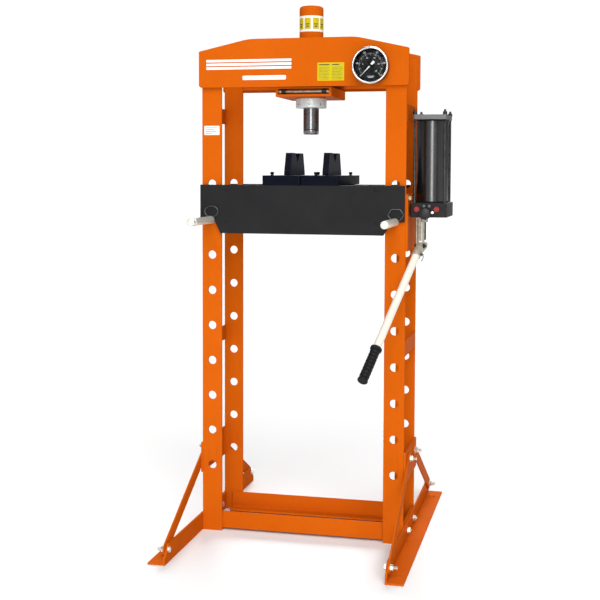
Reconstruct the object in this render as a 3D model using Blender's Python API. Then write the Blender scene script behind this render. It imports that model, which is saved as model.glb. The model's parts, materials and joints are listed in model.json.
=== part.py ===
"""Hydraulic shop press with a sliding cylinder, as separate solids. Metres, +Z up, front towards -Y."""

import math

import bmesh
import bpy
from mathutils import Matrix, Vector

# --- driving dimensions ---------------------------------------------------------------------------
GAP = 0.0003  # clearance kept between touching pieces
SIDES = 24  # sides of a turned piece
HOLE_SIDES = 14  # sides of a drilled hole

HOLE_PITCH = 0.118
HOLE_COUNT = 9
LOWEST_HOLE = 0.224
HOLE_R = 0.014
PIN_ROW = 7  # the row of holes, from the bottom, that carries the bed

COLUMN_X = 0.307  # middle of an upright
BAR_WIDTH = 0.067
BAR_T = 0.008
BAR_Y = 0.126  # middle of the bar's thickness, front and rear
BAR_TOP = 1.592

HEAD_HALF = 0.348
HEAD_FLAT_HALF = 0.178
HEAD_BOTTOM = 1.484
HEAD_END_TOP = 1.602
HEAD_MID_TOP = 1.640
HEAD_T = 0.012

RAIL_TOP = 1.4985
RAIL_T = 0.008
RAIL_DEPTH = 0.024
RAIL_HALF = 0.268

BED_SHIFT = -0.003  # the bed lies a little to the left, within its play
BED_HALF = 0.341
BED_TOP = 1.165
BED_BOTTOM = 1.005
BED_T = 0.012
BED_NOTCH_HALF = 0.272
SPACER_X = 0.249
SPACER_T = 0.010

PIN_R = 0.0125
PIN_DROP = 0.0012  # the pin lies on the bottom of its hole
PIN_FRONT = -0.355
PIN_REAR = 0.148

PLATE_SEAM = -0.003  # the press plates meet here
PLATE_WIDTH = 0.1275
PLATE_T = 0.031
PLATE_FRONT = -0.146
PLATE_REAR = 0.230
VEE_X = (-0.059, 0.070)
VEE_T = 0.020
VEE_HEIGHT = 0.075
VEE_BASE_HALF = 0.108
VEE_TOP_HALF = 0.084
VEE_NOTCH = 0.032
VEE_Y = 0.012

CARRIAGE_HALF_X = 0.093
CARRIAGE_HALF_Y = 0.118
CARRIAGE_BOTTOM = 1.453
CARRIAGE_FLOOR_T = 0.008
CARRIAGE_WALL = 0.008
CARRIAGE_LID_T = 0.005
SLIDE_T = 0.010
BARREL_R = 0.037
COVER_R = 0.040
COVER_TOP = 1.758
BORE_R = 0.0265
NUT_R = 0.0515
NUT_HEIGHT = 0.032
RAM_R = 0.026
RAM_TIP = 1.333
RAM_PAD = 0.016
RAM_LENGTH = 0.290

OUTER_X = COLUMN_X + BAR_WIDTH / 2 + GAP  # plane of everything fixed to a column's outer side
BATTEN_T = 0.006
BATTENS = ((1.374, 1.426), (0.613, 0.664))
BRACE_PLATE = (0.196, 0.297)
BASE_BAR_T = 0.006
BASE_BAR = (0.009, 0.065)
BASE_LEG = 0.050  # how far a base bar's level leg reaches inwards

FOOT_HALF = 0.507
FOOT_LEG = 0.056
FOOT_T = 0.006
FOOT_HEIGHT = 0.058
BRACE_WIDTH = 0.040
BRACE_T = 0.005
BRACE_LOW = (0.476, 0.042)  # Y and Z of a brace's lower bolt
BRACE_HIGH = (0.060, 0.268)

GAUGE_X = 0.232
GAUGE_Z = 1.544
GAUGE_R = 0.0585
GAUGE_FACE = 0.198  # how far the bezel's face stands in front of the middle plane

PUMP_X = 0.410
PUMP_Y = -0.011
PUMP_BASE = (0.058, 0.100)
PUMP_BASE_Z = (1.064, 1.110)
TANK_R = 0.052
TANK_WALL = 0.003
TANK_TOP = 1.378
LID_HALF = (0.054, 0.086)
LID_T = 0.015
TIE_R = 0.004
TIE_OUT = (0.048, 0.078)
VALVE = (0.401, 1.077)  # X and Z of the release valve
BRACKET = (0.955, 1.138)  # bottom and top of the plate that carries the pump
BRACKET_BOLT_Z = 1.125

LINK_YAW = math.radians(14.6)  # the lever swings in a plane turned this far from straight ahead
LINK_X = 0.392
LINK_Y = -0.062
PLUNGER_R = 0.0055
PLUNGER_FOOT = 0.9885
PLUNGER_TOP = 1.095
PIVOT_OUT = 0.035
PIVOT_Z = 0.972
HANDLE_DIP = math.radians(40.2)
HANDLE_LENGTH = 0.574
HANDLE_R = 0.0122
GRIP_LENGTH = 0.130
GRIP_R = 0.015

PAINT = ((0.83, 0.15, 0.006), 0.35, 0.0)
BLACK = ((0.025, 0.025, 0.026), 0.5, 0.0)
NAVY = ((0.012, 0.016, 0.030), 0.5, 0.2)
STEEL = ((0.60, 0.61, 0.62), 0.3, 1.0)
ZINC = ((0.66, 0.66, 0.62), 0.35, 1.0)
WHITE = ((0.85, 0.85, 0.83), 0.35, 0.0)
GREY = ((0.30, 0.30, 0.30), 0.4, 0.6)
RUBBER = ((0.02, 0.02, 0.02), 0.7, 0.0)
GLASS = ((0.9, 0.95, 1.0), 0.05, 0.0)


# --- helpers --------------------------------------------------------------------------------------
def clear_scene():
    for obj in list(bpy.data.objects):
        bpy.data.objects.remove(obj, do_unlink=True)


def empty(name, location=(0, 0, 0), parent=None, turn=0.0):
    obj = bpy.data.objects.new(name, None)
    obj.location = location
    obj.rotation_euler = (0, 0, turn)
    obj.parent = parent
    bpy.context.collection.objects.link(obj)
    return obj


def finish(obj, look, parent):
    """Gives the object its own material and its parent."""
    colour, roughness, metallic = look
    material = bpy.data.materials.new(obj.name)
    material.use_nodes = True
    shader = material.node_tree.nodes["Principled BSDF"]
    shader.inputs["Base Color"].default_value = (*colour, 1)
    shader.inputs["Roughness"].default_value = roughness
    shader.inputs["Metallic"].default_value = metallic
    obj.data.materials.append(material)
    obj.parent = parent
    bpy.context.collection.objects.link(obj)
    return obj


def mesh_object(name, bm, look, parent, smooth=False):
    bmesh.ops.recalc_face_normals(bm, faces=bm.faces)
    mesh = bpy.data.meshes.new(name)
    bm.to_mesh(mesh)
    bm.free()
    if smooth:
        mesh.shade_smooth()
        mesh.set_sharp_from_angle(angle=math.radians(35))
    return finish(bpy.data.objects.new(name, mesh), look, parent)


def block(name, low, high, look, parent):
    """A rectangular bar or plate between two corners."""
    low, high = Vector(low), Vector(high)
    bm = bmesh.new()
    place = Matrix.Translation((low + high) / 2) @ Matrix.Diagonal((*(high - low), 1))
    bmesh.ops.create_cube(bm, size=1, matrix=place)
    return mesh_object(name, bm, look, parent)


def circle(x, y, radius, sides=HOLE_SIDES):
    turns = [2 * math.pi * (k + 0.5) / sides for k in range(sides)]
    return [(x + radius * math.cos(t), y + radius * math.sin(t)) for t in turns]


def arc(x, y, radius, start, end, steps):
    angles = [math.radians(start + (end - start) * k / steps) for k in range(steps + 1)]
    return [(x + radius * math.cos(t), y + radius * math.sin(t)) for t in angles]


FACING = {
    "Y": Matrix.Rotation(math.pi / 2, 4, "X"),  # outline in X and Z
    "X": Matrix(((0, 0, 1, 0), (1, 0, 0, 0), (0, 1, 0, 0), (0, 0, 0, 1))),  # outline in Y and Z
    "Z": Matrix.Identity(4),  # outline in X and Y
}


def plate(name, outline, thickness, facing, middle, look, parent, holes=()):
    """A flat plate cut to an outline, with holes, whose faces look along one axis."""
    curve = bpy.data.curves.new(name, "CURVE")
    curve.dimensions = "2D"
    curve.fill_mode = "BOTH"
    curve.extrude = thickness / 2
    for ring in (outline, *holes):
        spline = curve.splines.new("POLY")
        spline.points.add(len(ring) - 1)
        for point, (x, y) in zip(spline.points, ring, strict=True):
            point.co = (x, y, 0, 1)
        spline.use_cyclic_u = True
    obj = finish(bpy.data.objects.new(name, curve), look, parent)
    offset = {"X": (middle, 0, 0), "Y": (0, middle, 0), "Z": (0, 0, middle)}[facing]
    obj.matrix_local = Matrix.Translation(offset) @ FACING[facing]
    return obj


def turned(name, profile, look, parent, base=(0, 0, 0), axis=(0, 0, 1), sides=SIDES):
    """A turned piece: profile is (radius, height) up its outer side, then down its bore if it has one."""
    bm = bmesh.new()
    verts = [bm.verts.new((r, 0, h)) for r, h in profile]
    pairs = list(zip(verts, verts[1:], strict=False))
    if min(r for r, _ in profile) > 0:
        pairs.append((verts[-1], verts[0]))
    edges = [bm.edges.new(pair) for pair in pairs]
    bmesh.ops.spin(
        bm, geom=verts + edges, cent=(0, 0, 0), axis=(0, 0, 1), angle=2 * math.pi, steps=sides
    )
    bmesh.ops.remove_doubles(bm, verts=bm.verts, dist=1e-5)
    turn = Vector((0, 0, 1)).rotation_difference(Vector(axis)).to_matrix().to_4x4()
    bmesh.ops.transform(bm, matrix=Matrix.Translation(base) @ turn, verts=bm.verts)
    return mesh_object(name, bm, look, parent, smooth=True)


def rod(radius, low, high):
    """The profile of a plain solid rod."""
    return [(0, low), (radius, low), (radius, high), (0, high)]


def sleeve(outer, inner, low, high):
    """The profile of a plain ring."""
    return [(outer, low), (outer, high), (inner, high), (inner, low)]


def combine(obj, other, operation):
    """Cuts or joins another mesh object, which then no longer counts as a piece."""
    modifier = obj.modifiers.new(operation.title(), "BOOLEAN")
    modifier.operation = operation
    modifier.object = other
    other.hide_render = True
    other.display_type = "WIRE"


def mirrored(side):
    return "right" if side > 0 else "left"


def depth_name(face):
    return "rear" if face > 0 else "front"


# --- frame ----------------------------------------------------------------------------------------
def rectangle(left, bottom, right, top):
    return [(left, bottom), (right, bottom), (right, top), (left, top)]


def make_uprights(frame):
    """Four flat bars, each drilled with the row of pin holes."""
    rows = [LOWEST_HOLE + HOLE_PITCH * k for k in range(HOLE_COUNT)]
    for side in (-1, 1):
        middle = side * COLUMN_X
        for face in (-1, 1):
            name = f"upright_{depth_name(face)}_{mirrored(side)}"
            outline = rectangle(middle - BAR_WIDTH / 2, 0, middle + BAR_WIDTH / 2, BAR_TOP)
            holes = [circle(middle, row, HOLE_R) for row in rows]
            plate(name, outline, BAR_T, "Y", face * BAR_Y, PAINT, frame, holes)


def outer_plate(name, side, low, high, frame, holes=()):
    """A flat plate across a column's outer side, from its front bar to its rear bar."""
    reach = BAR_Y + BAR_T / 2
    middle = side * (OUTER_X + BATTEN_T / 2)
    outline = rectangle(-reach, low, reach, high)
    plate(name, outline, BATTEN_T, "X", middle, PAINT, frame, holes)


def make_battens(frame):
    """Battens between the bars of a column, flush with its outer side, and the plates for the braces."""
    reach = BAR_Y - BAR_T / 2 - GAP
    for side in (-1, 1):
        middle = side * (COLUMN_X + BAR_WIDTH / 2 - BATTEN_T / 2)
        for level, (low, high) in zip(("upper", "middle"), BATTENS, strict=True):
            outline = rectangle(-reach, low, reach, high)
            plate(f"batten_{level}_{mirrored(side)}", outline, BATTEN_T, "X", middle, PAINT, frame)
        outer_plate(f"brace_plate_{mirrored(side)}", side, *BRACE_PLATE, frame)


def make_head(frame):
    """Two plates outside the uprights, with a rail inside each for the sliding cylinder."""
    outline = [
        (-HEAD_HALF, HEAD_BOTTOM),
        (HEAD_HALF, HEAD_BOTTOM),
        (HEAD_HALF, HEAD_END_TOP),
        (HEAD_FLAT_HALF, HEAD_MID_TOP),
        (-HEAD_FLAT_HALF, HEAD_MID_TOP),
        (-HEAD_HALF, HEAD_END_TOP),
    ]
    inner = BAR_Y + BAR_T / 2 + GAP
    for face in (-1, 1):
        name = depth_name(face)
        plate(f"head_plate_{name}", outline, HEAD_T, "Y", face * (inner + HEAD_T / 2), PAINT, frame)
        ends = sorted((face * (inner - GAP), face * (inner - GAP - RAIL_DEPTH)))
        low = (-RAIL_HALF, ends[0], RAIL_TOP - RAIL_T)
        high = (RAIL_HALF, ends[1], RAIL_TOP)
        block(f"head_rail_{name}", low, high, PAINT, frame)


def make_base(frame):
    """Angle bars between the columns, just above the floor, with their level legs inwards."""
    inner = BAR_Y - BAR_T / 2 - GAP
    low, high = BASE_BAR
    section = [
        (inner, low),
        (inner, high),
        (inner - BASE_BAR_T, high),
        (inner - BASE_BAR_T, low + BASE_BAR_T),
        (inner - BASE_LEG, low + BASE_BAR_T),
        (inner - BASE_LEG, low),
    ]
    for face in (-1, 1):
        outline = [(face * y, z) for y, z in section]
        plate(f"base_bar_{depth_name(face)}", outline, 2 * COLUMN_X, "X", 0, PAINT, frame)


def make_foot(side, frame):
    """An angle bar along the floor: one leg against the column, the other lying outwards."""
    name = f"foot_{mirrored(side)}"
    cut = 0.040
    outline = [
        (-FOOT_HALF, 0),
        (FOOT_HALF, 0),
        (FOOT_HALF, FOOT_HEIGHT - cut),
        (FOOT_HALF - cut, FOOT_HEIGHT),
        (-FOOT_HALF + cut, FOOT_HEIGHT),
        (-FOOT_HALF, FOOT_HEIGHT - cut),
    ]
    flanks = [side * OUTER_X, side * (OUTER_X + FOOT_T)]
    tip = side * (OUTER_X + FOOT_LEG)
    bm = bmesh.new()
    near = [bm.verts.new((flanks[0], y, z)) for y, z in outline]
    far = [bm.verts.new((flanks[1], y, z)) for y, z in outline]
    bm.faces.new(near)
    bm.faces.new(far)
    for k in range(len(outline)):
        n = (k + 1) % len(outline)
        bm.faces.new((near[k], near[n], far[n], far[k]))
    foot = mesh_object(name, bm, PAINT, frame)
    bolt_hole = 0.007
    hole_y = FOOT_HALF - 0.075
    left, right = sorted((flanks[0] + side * FOOT_T / 2, tip))
    sole = rectangle(left, -FOOT_HALF, right, FOOT_HALF)
    middle = side * (OUTER_X + (FOOT_T + FOOT_LEG) / 2)
    holes = [circle(middle, y, bolt_hole) for y in (-hole_y, hole_y)]
    flat = solid_sheet(f"{name}_sole", sole, 0, FOOT_T, holes, frame)
    combine(foot, flat, "UNION")


def solid_sheet(name, outline, low, high, holes, parent):
    """A mesh plate lying level, for joining to another piece."""
    flat = plate(name, outline, high - low, "Z", (low + high) / 2, PAINT, parent, holes)
    graph = bpy.context.evaluated_depsgraph_get()
    mesh = bpy.data.meshes.new_from_object(flat.evaluated_get(graph))
    place = flat.matrix_local.copy()
    bpy.data.objects.remove(flat, do_unlink=True)
    sheet = bpy.data.objects.new(name, mesh)
    sheet.parent = parent
    sheet.matrix_local = place
    bpy.context.collection.objects.link(sheet)
    bm = bmesh.new()
    bm.from_mesh(mesh)
    bmesh.ops.remove_doubles(bm, verts=bm.verts, dist=1e-6)
    bmesh.ops.recalc_face_normals(bm, faces=bm.faces)
    bm.to_mesh(mesh)
    bm.free()
    return sheet


def make_brace(side, face, frame):
    """A flat bar with round ends, from the end of a foot up to the brace plate."""
    low = Vector((face * BRACE_LOW[0], BRACE_LOW[1]))
    high = Vector((face * BRACE_HIGH[0], BRACE_HIGH[1]))
    angle = math.degrees(math.atan2(high.y - low.y, high.x - low.x))
    half = BRACE_WIDTH / 2
    outline = arc(*high, half, angle - 90, angle + 90, 8) + arc(*low, half, angle + 90, angle + 270, 8)
    middle = side * (OUTER_X + BATTEN_T + GAP + BRACE_T / 2)
    plate(f"brace_{depth_name(face)}_{mirrored(side)}", outline, BRACE_T, "X", middle, PAINT, frame)


# --- gauge ----------------------------------------------------------------------------------------
def make_gauge(frame):
    back = BAR_Y + BAR_T / 2 + HEAD_T + 2 * GAP
    depth = GAUGE_FACE - back
    inner = GAUGE_R - 0.006
    at = {"base": (GAUGE_X, -back, GAUGE_Z), "axis": (0, -1, 0), "sides": 32}
    rim = depth - 0.010
    case = [(0, 0), (0.040, 0), (GAUGE_R - 0.003, 0.006), (GAUGE_R - 0.003, rim)]
    case += [(inner, rim), (inner, 0.020), (0, 0.020)]
    turned("gauge_case", case, BLACK, frame, **at)
    bezel = [(GAUGE_R, rim + GAP), (GAUGE_R, depth - 0.003), (GAUGE_R - 0.003, depth)]
    bezel += [(inner - 0.001, depth - 0.002), (inner - 0.001, rim + GAP)]
    turned("gauge_bezel", bezel, STEEL, frame, **at)
    turned("gauge_dial", rod(inner - GAP, 0.0203, rim - 0.008), BLACK, frame, **at)
    turned("gauge_lens", rod(inner - 0.0015, rim + 0.001, rim + 0.0035), GLASS, frame, **at)
    pivot = empty("gauge_axis", (GAUGE_X, -(back + rim - 0.004), GAUGE_Z), frame)
    tip = Vector((-0.034, -0.036))
    across = Vector((-tip.y, tip.x)).normalized()
    tail = tip * -0.32
    needle = [tip + across * 0.0006, tip - across * 0.0006, tail - across * 0.003, tail + across * 0.003]
    outline = [tuple(p) for p in needle]
    plate("gauge_needle", outline, 0.0012, "Y", 0, WHITE, pivot)


# --- pump -----------------------------------------------------------------------------------------
def make_tank(frame):
    low, high = PUMP_BASE_Z
    half_x, half_y = PUMP_BASE
    base = block(
        "pump_base",
        (PUMP_X - half_x, PUMP_Y - half_y, low),
        (PUMP_X + half_x, PUMP_Y + half_y, high),
        BLACK,
        frame,
    )
    bore = rod(PLUNGER_R + 0.001, low - 0.01, high - 0.008)
    bore = turned("plunger_bore", bore, STEEL, frame, base=(LINK_X, LINK_Y, 0))
    combine(base, bore, "DIFFERENCE")
    at = {"base": (PUMP_X, PUMP_Y, 0)}
    tube = sleeve(TANK_R, TANK_R - TANK_WALL, high + GAP, TANK_TOP - GAP)
    turned("tank_tube", tube, BLACK, frame, sides=32, **at)
    across, along = TIE_OUT
    spots = [(PUMP_X + sx * across, PUMP_Y + sy * along) for sx in (-1, 1) for sy in (-1, 1)]
    across, along = LID_HALF
    lid = rectangle(PUMP_X - across, PUMP_Y - along, PUMP_X + across, PUMP_Y + along)
    holes = [circle(x, y, TIE_R + 0.0006, 10) for x, y in spots]
    plate("tank_lid", lid, LID_T, "Z", TANK_TOP + LID_T / 2, GREY, frame, holes)
    top = TANK_TOP + LID_T + GAP
    tie = [(0, high + GAP), (TIE_R, high + GAP), (TIE_R, top), (0.0072, top), (0.0072, top + 0.009)]
    tie += [(0.004, top + 0.010), (0.004, top + 0.016), (0, top + 0.017)]
    for spot, (x, y) in zip(("front_left", "rear_left", "front_right", "rear_right"), spots, strict=True):
        turned(f"tie_rod_{spot}", tie, STEEL, frame, base=(x, y, 0), sides=10)


def make_pump_fixings(frame):
    reach = BAR_Y + BAR_T / 2
    low, high = BRACKET
    holes = [circle(y, BRACKET_BOLT_Z, 0.005, 10) for y in (-0.1, 0.1)]
    outline = rectangle(-reach, low, reach, high)
    plate("pump_bracket", outline, BATTEN_T, "X", OUTER_X + BATTEN_T / 2, PAINT, frame, holes)
    front = PUMP_Y - PUMP_BASE[1] - GAP
    knob = [(0, 0), (0.012, 0), (0.012, 0.008), (0.019, 0.010), (0.020, 0.013), (0.020, 0.026)]
    knob += [(0.017, 0.030), (0, 0.030)]
    axis = empty("valve_axis", (VALVE[0], front, VALVE[1]), frame)
    turned("release_knob", knob, BLACK, axis, axis=(0, -1, 0), sides=20)


def make_linkage(frame):
    """The hanging bracket, the plunger and the lever with its handle, in the lever's own plane."""
    low = PUMP_BASE_Z[0] - GAP
    plane = empty("lever_plane", (LINK_X, LINK_Y, 0), frame, -LINK_YAW)
    gland = sleeve(0.0115, PLUNGER_R + 0.0003, low - 0.016, low)
    turned("plunger_gland", gland, GREY, plane)
    turned("plunger", rod(PLUNGER_R, PLUNGER_FOOT, PLUNGER_TOP), STEEL, plane)
    strap, half = 0.003, 0.0080
    web = low - 0.004
    hanger = [
        (-half - strap, PIVOT_Z - 0.012),
        (-half, PIVOT_Z - 0.012),
        (-half, web),
        (half, web),
        (half, PIVOT_Z - 0.012),
        (half + strap, PIVOT_Z - 0.012),
        (half + strap, low),
        (-half - strap, low),
    ]
    plate("lever_bracket", hanger, 0.018, "Y", -PIVOT_OUT, GREY, plane)
    swing = empty("lever_axis", (0, -PIVOT_OUT, PIVOT_Z), plane)
    lever = plate_mesh("pump_lever", lever_outline(), 0.0155, swing)
    down = Vector((0, -math.cos(HANDLE_DIP), -math.sin(HANDLE_DIP)))
    at = {"axis": down, "sides": 20}
    socket = turned("handle_socket", rod(0.0150, 0.022, 0.050), STEEL, swing, **at)
    combine(lever, socket, "UNION")
    mouth = turned("socket_bore", rod(HANDLE_R + GAP, 0.030, 0.080), STEEL, swing, **at)
    combine(lever, mouth, "DIFFERENCE")
    start, end = 0.0303, HANDLE_LENGTH - 0.006
    turned("handle_tube", sleeve(HANDLE_R, HANDLE_R - 0.002, start, end), WHITE, swing, **at)
    turned("handle_grip", grip_profile(), RUBBER, swing, **at)


def lever_outline():
    """The lever's side view about its pivot: a rounded back end, the eye and the root of the socket."""
    rear = arc(PIVOT_OUT, 0, 0.010, -80, 90, 6)
    eye = arc(0, 0, 0.011, 90, 128, 3)
    reach = 0.030
    root = arc(-reach * math.cos(HANDLE_DIP), -reach * math.sin(HANDLE_DIP), 0.012, 128, 290, 6)
    return rear + eye + root


def plate_mesh(name, outline, thickness, parent):
    """A plate in the Y-Z plane as a mesh, ready for a Boolean."""
    bm = bmesh.new()
    rings = [[bm.verts.new((x, y, z)) for y, z in outline] for x in (-thickness / 2, thickness / 2)]
    for ring in rings:
        bm.faces.new(ring)
    for k in range(len(outline)):
        n = (k + 1) % len(outline)
        bm.faces.new((rings[0][k], rings[0][n], rings[1][n], rings[1][k]))
    return mesh_object(name, bm, ZINC, parent)


def grip_profile():
    """A ribbed grip with a flange at its inner end and a blind bore over the tube."""
    start = HANDLE_LENGTH - GRIP_LENGTH
    ribs = 8
    step = (GRIP_LENGTH - 0.024) / ribs
    profile = [(GRIP_R + 0.003, start), (GRIP_R + 0.003, start + 0.008)]
    for k in range(ribs):
        low = start + 0.010 + k * step
        profile += [(GRIP_R - 0.0015, low), (GRIP_R, low + step * 0.3), (GRIP_R, low + step * 0.7)]
    profile += [(GRIP_R, HANDLE_LENGTH - 0.006), (GRIP_R - 0.004, HANDLE_LENGTH), (0, HANDLE_LENGTH)]
    bore = [(0, HANDLE_LENGTH - 0.0055), (HANDLE_R + GAP, HANDLE_LENGTH - 0.0055)]
    return [*bore, (HANDLE_R + GAP, start), *profile]


# --- cylinder on its carriage ---------------------------------------------------------------------
def make_carriage(frame):
    body = empty("carriage_slide", (0, 0, 0), frame)
    top = HEAD_BOTTOM - GAP
    floor = CARRIAGE_BOTTOM + CARRIAGE_FLOOR_T
    outer = rectangle(-CARRIAGE_HALF_X, CARRIAGE_BOTTOM, CARRIAGE_HALF_X, top)
    inside = CARRIAGE_HALF_X - CARRIAGE_WALL
    window = rectangle(-inside, floor, inside, top - CARRIAGE_LID_T)
    bored_plate("carriage", outer, [window], 2 * CARRIAGE_HALF_Y, "Y", BARREL_R + GAP, body)
    reach = BAR_Y - BAR_T / 2 - 0.002
    plate(
        "slide_plate",
        rectangle(-CARRIAGE_HALF_X, -reach, CARRIAGE_HALF_X, reach),
        SLIDE_T,
        "Z",
        RAIL_TOP + GAP + SLIDE_T / 2,
        PAINT,
        body,
        [circle(0, 0, BARREL_R + GAP * 2, SIDES)],
    )
    rod_z = (floor + top - CARRIAGE_LID_T) / 2
    ends = inside - GAP
    axle = [(0, -ends), (0.006, -ends), (0.006, 0.006 - ends), (0.0042, 0.007 - ends)]
    axle += [(0.0042, ends - 0.007), (0.006, ends - 0.006), (0.006, ends), (0, ends)]
    place = (0, 0.012 - CARRIAGE_HALF_Y, rod_z)
    turned("clamp_rod", axle, STEEL, body, base=place, axis=(1, 0, 0), sides=12)
    bottom = CARRIAGE_BOTTOM + GAP
    barrel = [(0, COVER_TOP - 0.022), (BORE_R, COVER_TOP - 0.022), (BORE_R, bottom)]
    barrel += [(BARREL_R, bottom), (BARREL_R, COVER_TOP - 0.012), (0, COVER_TOP - 0.012)]
    turned("cylinder_barrel", barrel, PAINT, body)
    skirt = HEAD_MID_TOP - 0.070
    edge = 0.010
    cap = [(0, COVER_TOP - 0.0115), (BARREL_R + GAP, COVER_TOP - 0.0115)]
    cap += [(BARREL_R + GAP, skirt), (COVER_R, skirt)]
    cap += [*arc(COVER_R - edge, COVER_TOP - edge, edge, 0, 90, 4), (0, COVER_TOP)]
    turned("cylinder_cover", cap, PAINT, body)
    nut_top = CARRIAGE_BOTTOM - GAP
    nut = [(NUT_R - 0.001, nut_top - NUT_HEIGHT), (NUT_R, nut_top - NUT_HEIGHT + 0.001)]
    nut += [(NUT_R, nut_top - 0.001), (NUT_R - 0.001, nut_top), (BORE_R, nut_top)]
    nut += [(BORE_R, nut_top - NUT_HEIGHT)]
    turned("ring_nut", nut, STEEL, body, sides=32)
    ram = empty("ram_axis", (0, 0, 0), body)
    start = RAM_TIP + RAM_PAD
    turned("ram", rod(RAM_R, start + GAP, start + RAM_LENGTH), STEEL, ram)
    pad = [(0, RAM_TIP), (RAM_R - 0.002, RAM_TIP), (RAM_R, RAM_TIP + 0.002), (RAM_R, start - 0.001)]
    pad += [(RAM_R - 0.001, start), (0, start)]
    turned("ram_pad", pad, STEEL, ram)


def bored_plate(name, outline, windows, thickness, facing, bore, parent):
    """A thick plate with windows through its faces and an upright bore through its middle."""
    shape = plate(name + "_shape", outline, thickness, facing, 0, PAINT, parent, windows)
    graph = bpy.context.evaluated_depsgraph_get()
    mesh = bpy.data.meshes.new_from_object(shape.evaluated_get(graph))
    mesh.transform(shape.matrix_local)
    bpy.data.objects.remove(shape, do_unlink=True)
    bm = bmesh.new()
    bm.from_mesh(mesh)
    bmesh.ops.remove_doubles(bm, verts=bm.verts, dist=1e-6)
    solid = mesh_object(name, bm, PAINT, parent)
    cutter = turned(name + "_bore", rod(bore + GAP, 1.40, 1.55), STEEL, parent)
    combine(solid, cutter, "DIFFERENCE")
    return solid


# --- bed ------------------------------------------------------------------------------------------
def bed_outline():
    """A beam's face: a saddle sits on each pin, and the deep middle hangs between the columns."""
    pin_z = LOWEST_HOLE + HOLE_PITCH * PIN_ROW - PIN_DROP
    half = []
    saddle = PIN_R + GAP
    centre = COLUMN_X - BED_SHIFT
    left_centre = COLUMN_X + BED_SHIFT
    for side, pin_x in ((1, centre), (-1, left_centre)):
        curve = arc(pin_x, pin_z, saddle, 0, 180, 8)
        run = [(BED_HALF, BED_TOP), (BED_HALF, pin_z), *curve, (pin_x - saddle, pin_z - 0.004)]
        run.append((BED_NOTCH_HALF, BED_BOTTOM))
        half.append([(side * x + BED_SHIFT, z) for x, z in run])
    return half[0] + half[1][::-1]


def make_bed(frame):
    bed = empty("bed_lift", (0, 0, 0), frame)
    inner = BAR_Y + BAR_T / 2 + 0.0008
    outline = bed_outline()
    for face in (-1, 1):
        middle = face * (inner + BED_T / 2)
        plate(f"bed_beam_{depth_name(face)}", outline, BED_T, "Y", middle, BLACK, bed)
    reach = inner - GAP
    for side in (-1, 1):
        middle = side * SPACER_X + BED_SHIFT
        low = (middle - SPACER_T / 2, -reach, BED_BOTTOM + 0.008)
        high = (middle + SPACER_T / 2, reach, BED_TOP - 0.010)
        block(f"bed_spacer_{mirrored(side)}", low, high, BLACK, bed)
    top = BED_TOP + GAP + PLATE_T
    for side in (-1, 1):
        slide = empty(f"plate_slide_{mirrored(side)}", (0, 0, 0), bed)
        ends = sorted((PLATE_SEAM + side * GAP, PLATE_SEAM + side * PLATE_WIDTH))
        low = (ends[0], PLATE_FRONT, BED_TOP + GAP)
        high = (ends[1], PLATE_REAR, top)
        block(f"press_plate_{mirrored(side)}", low, high, NAVY, slide)
        vee = empty(f"v_block_slide_{mirrored(side)}", (0, 0, 0), slide)
        low_z, high_z = top + GAP, top + VEE_HEIGHT
        outline = [
            (VEE_Y - VEE_BASE_HALF, low_z),
            (VEE_Y + VEE_BASE_HALF, low_z),
            (VEE_Y + VEE_TOP_HALF, high_z),
            (VEE_Y + VEE_NOTCH, high_z),
            (VEE_Y, high_z - VEE_NOTCH),
            (VEE_Y - VEE_NOTCH, high_z),
            (VEE_Y - VEE_TOP_HALF, high_z),
        ]
        middle = VEE_X[0] if side < 0 else VEE_X[1]
        plate(f"v_block_{mirrored(side)}", outline, VEE_T, "X", middle, NAVY, vee)


def make_pins(frame):
    pin_z = LOWEST_HOLE + HOLE_PITCH * PIN_ROW - PIN_DROP
    length = PIN_REAR - PIN_FRONT
    groove, depth = 0.022, 0.002
    pin = [(0, 0), (PIN_R - 0.002, 0), (PIN_R, 0.002), (PIN_R, length - groove - 0.004)]
    pin += [(PIN_R - depth, length - groove - 0.003), (PIN_R - depth, length - groove + 0.003)]
    pin += [(PIN_R, length - groove + 0.004), (PIN_R, length - 0.002), (PIN_R - 0.002, length)]
    pin += [(0, length)]
    for side in (-1, 1):
        axis = empty(f"pin_axis_{mirrored(side)}", (side * COLUMN_X, PIN_REAR, pin_z), frame)
        turned(f"pin_{mirrored(side)}", pin, ZINC, axis, axis=(0, -1, 0), sides=20)


# --- the whole press ------------------------------------------------------------------------------
def centre_on_box(frame):
    """Moves the press so that the bottom centre of its box is the origin."""
    graph = bpy.context.evaluated_depsgraph_get()
    low, high = Vector((1e9,) * 3), Vector((-1e9,) * 3)
    for obj in bpy.data.objects:
        if obj.type == "EMPTY" or obj.hide_render:
            continue
        shape = obj.evaluated_get(graph)
        for corner in shape.to_mesh().vertices:
            at = obj.matrix_world @ corner.co
            low = Vector(map(min, low, at))
            high = Vector(map(max, high, at))
        shape.to_mesh_clear()
    frame.location = (-(low.x + high.x) / 2, -(low.y + high.y) / 2, -low.z)


def main():
    clear_scene()
    frame = empty("press")
    make_uprights(frame)
    make_battens(frame)
    make_head(frame)
    make_base(frame)
    for side in (-1, 1):
        make_foot(side, frame)
        for face in (-1, 1):
            make_brace(side, face, frame)
    make_gauge(frame)
    make_tank(frame)
    make_pump_fixings(frame)
    make_linkage(frame)
    make_carriage(frame)
    make_bed(frame)
    make_pins(frame)
    bpy.context.view_layer.update()
    centre_on_box(frame)
    bpy.context.view_layer.update()


main()
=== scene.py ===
"""Looks of the hydraulic shop press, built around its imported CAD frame. Metres, +Z up, front towards -Y."""

import json
import random
from math import cos, pi, radians, sin, sqrt, tan

import bmesh
import bpy
from mathutils import Matrix, Vector


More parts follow.
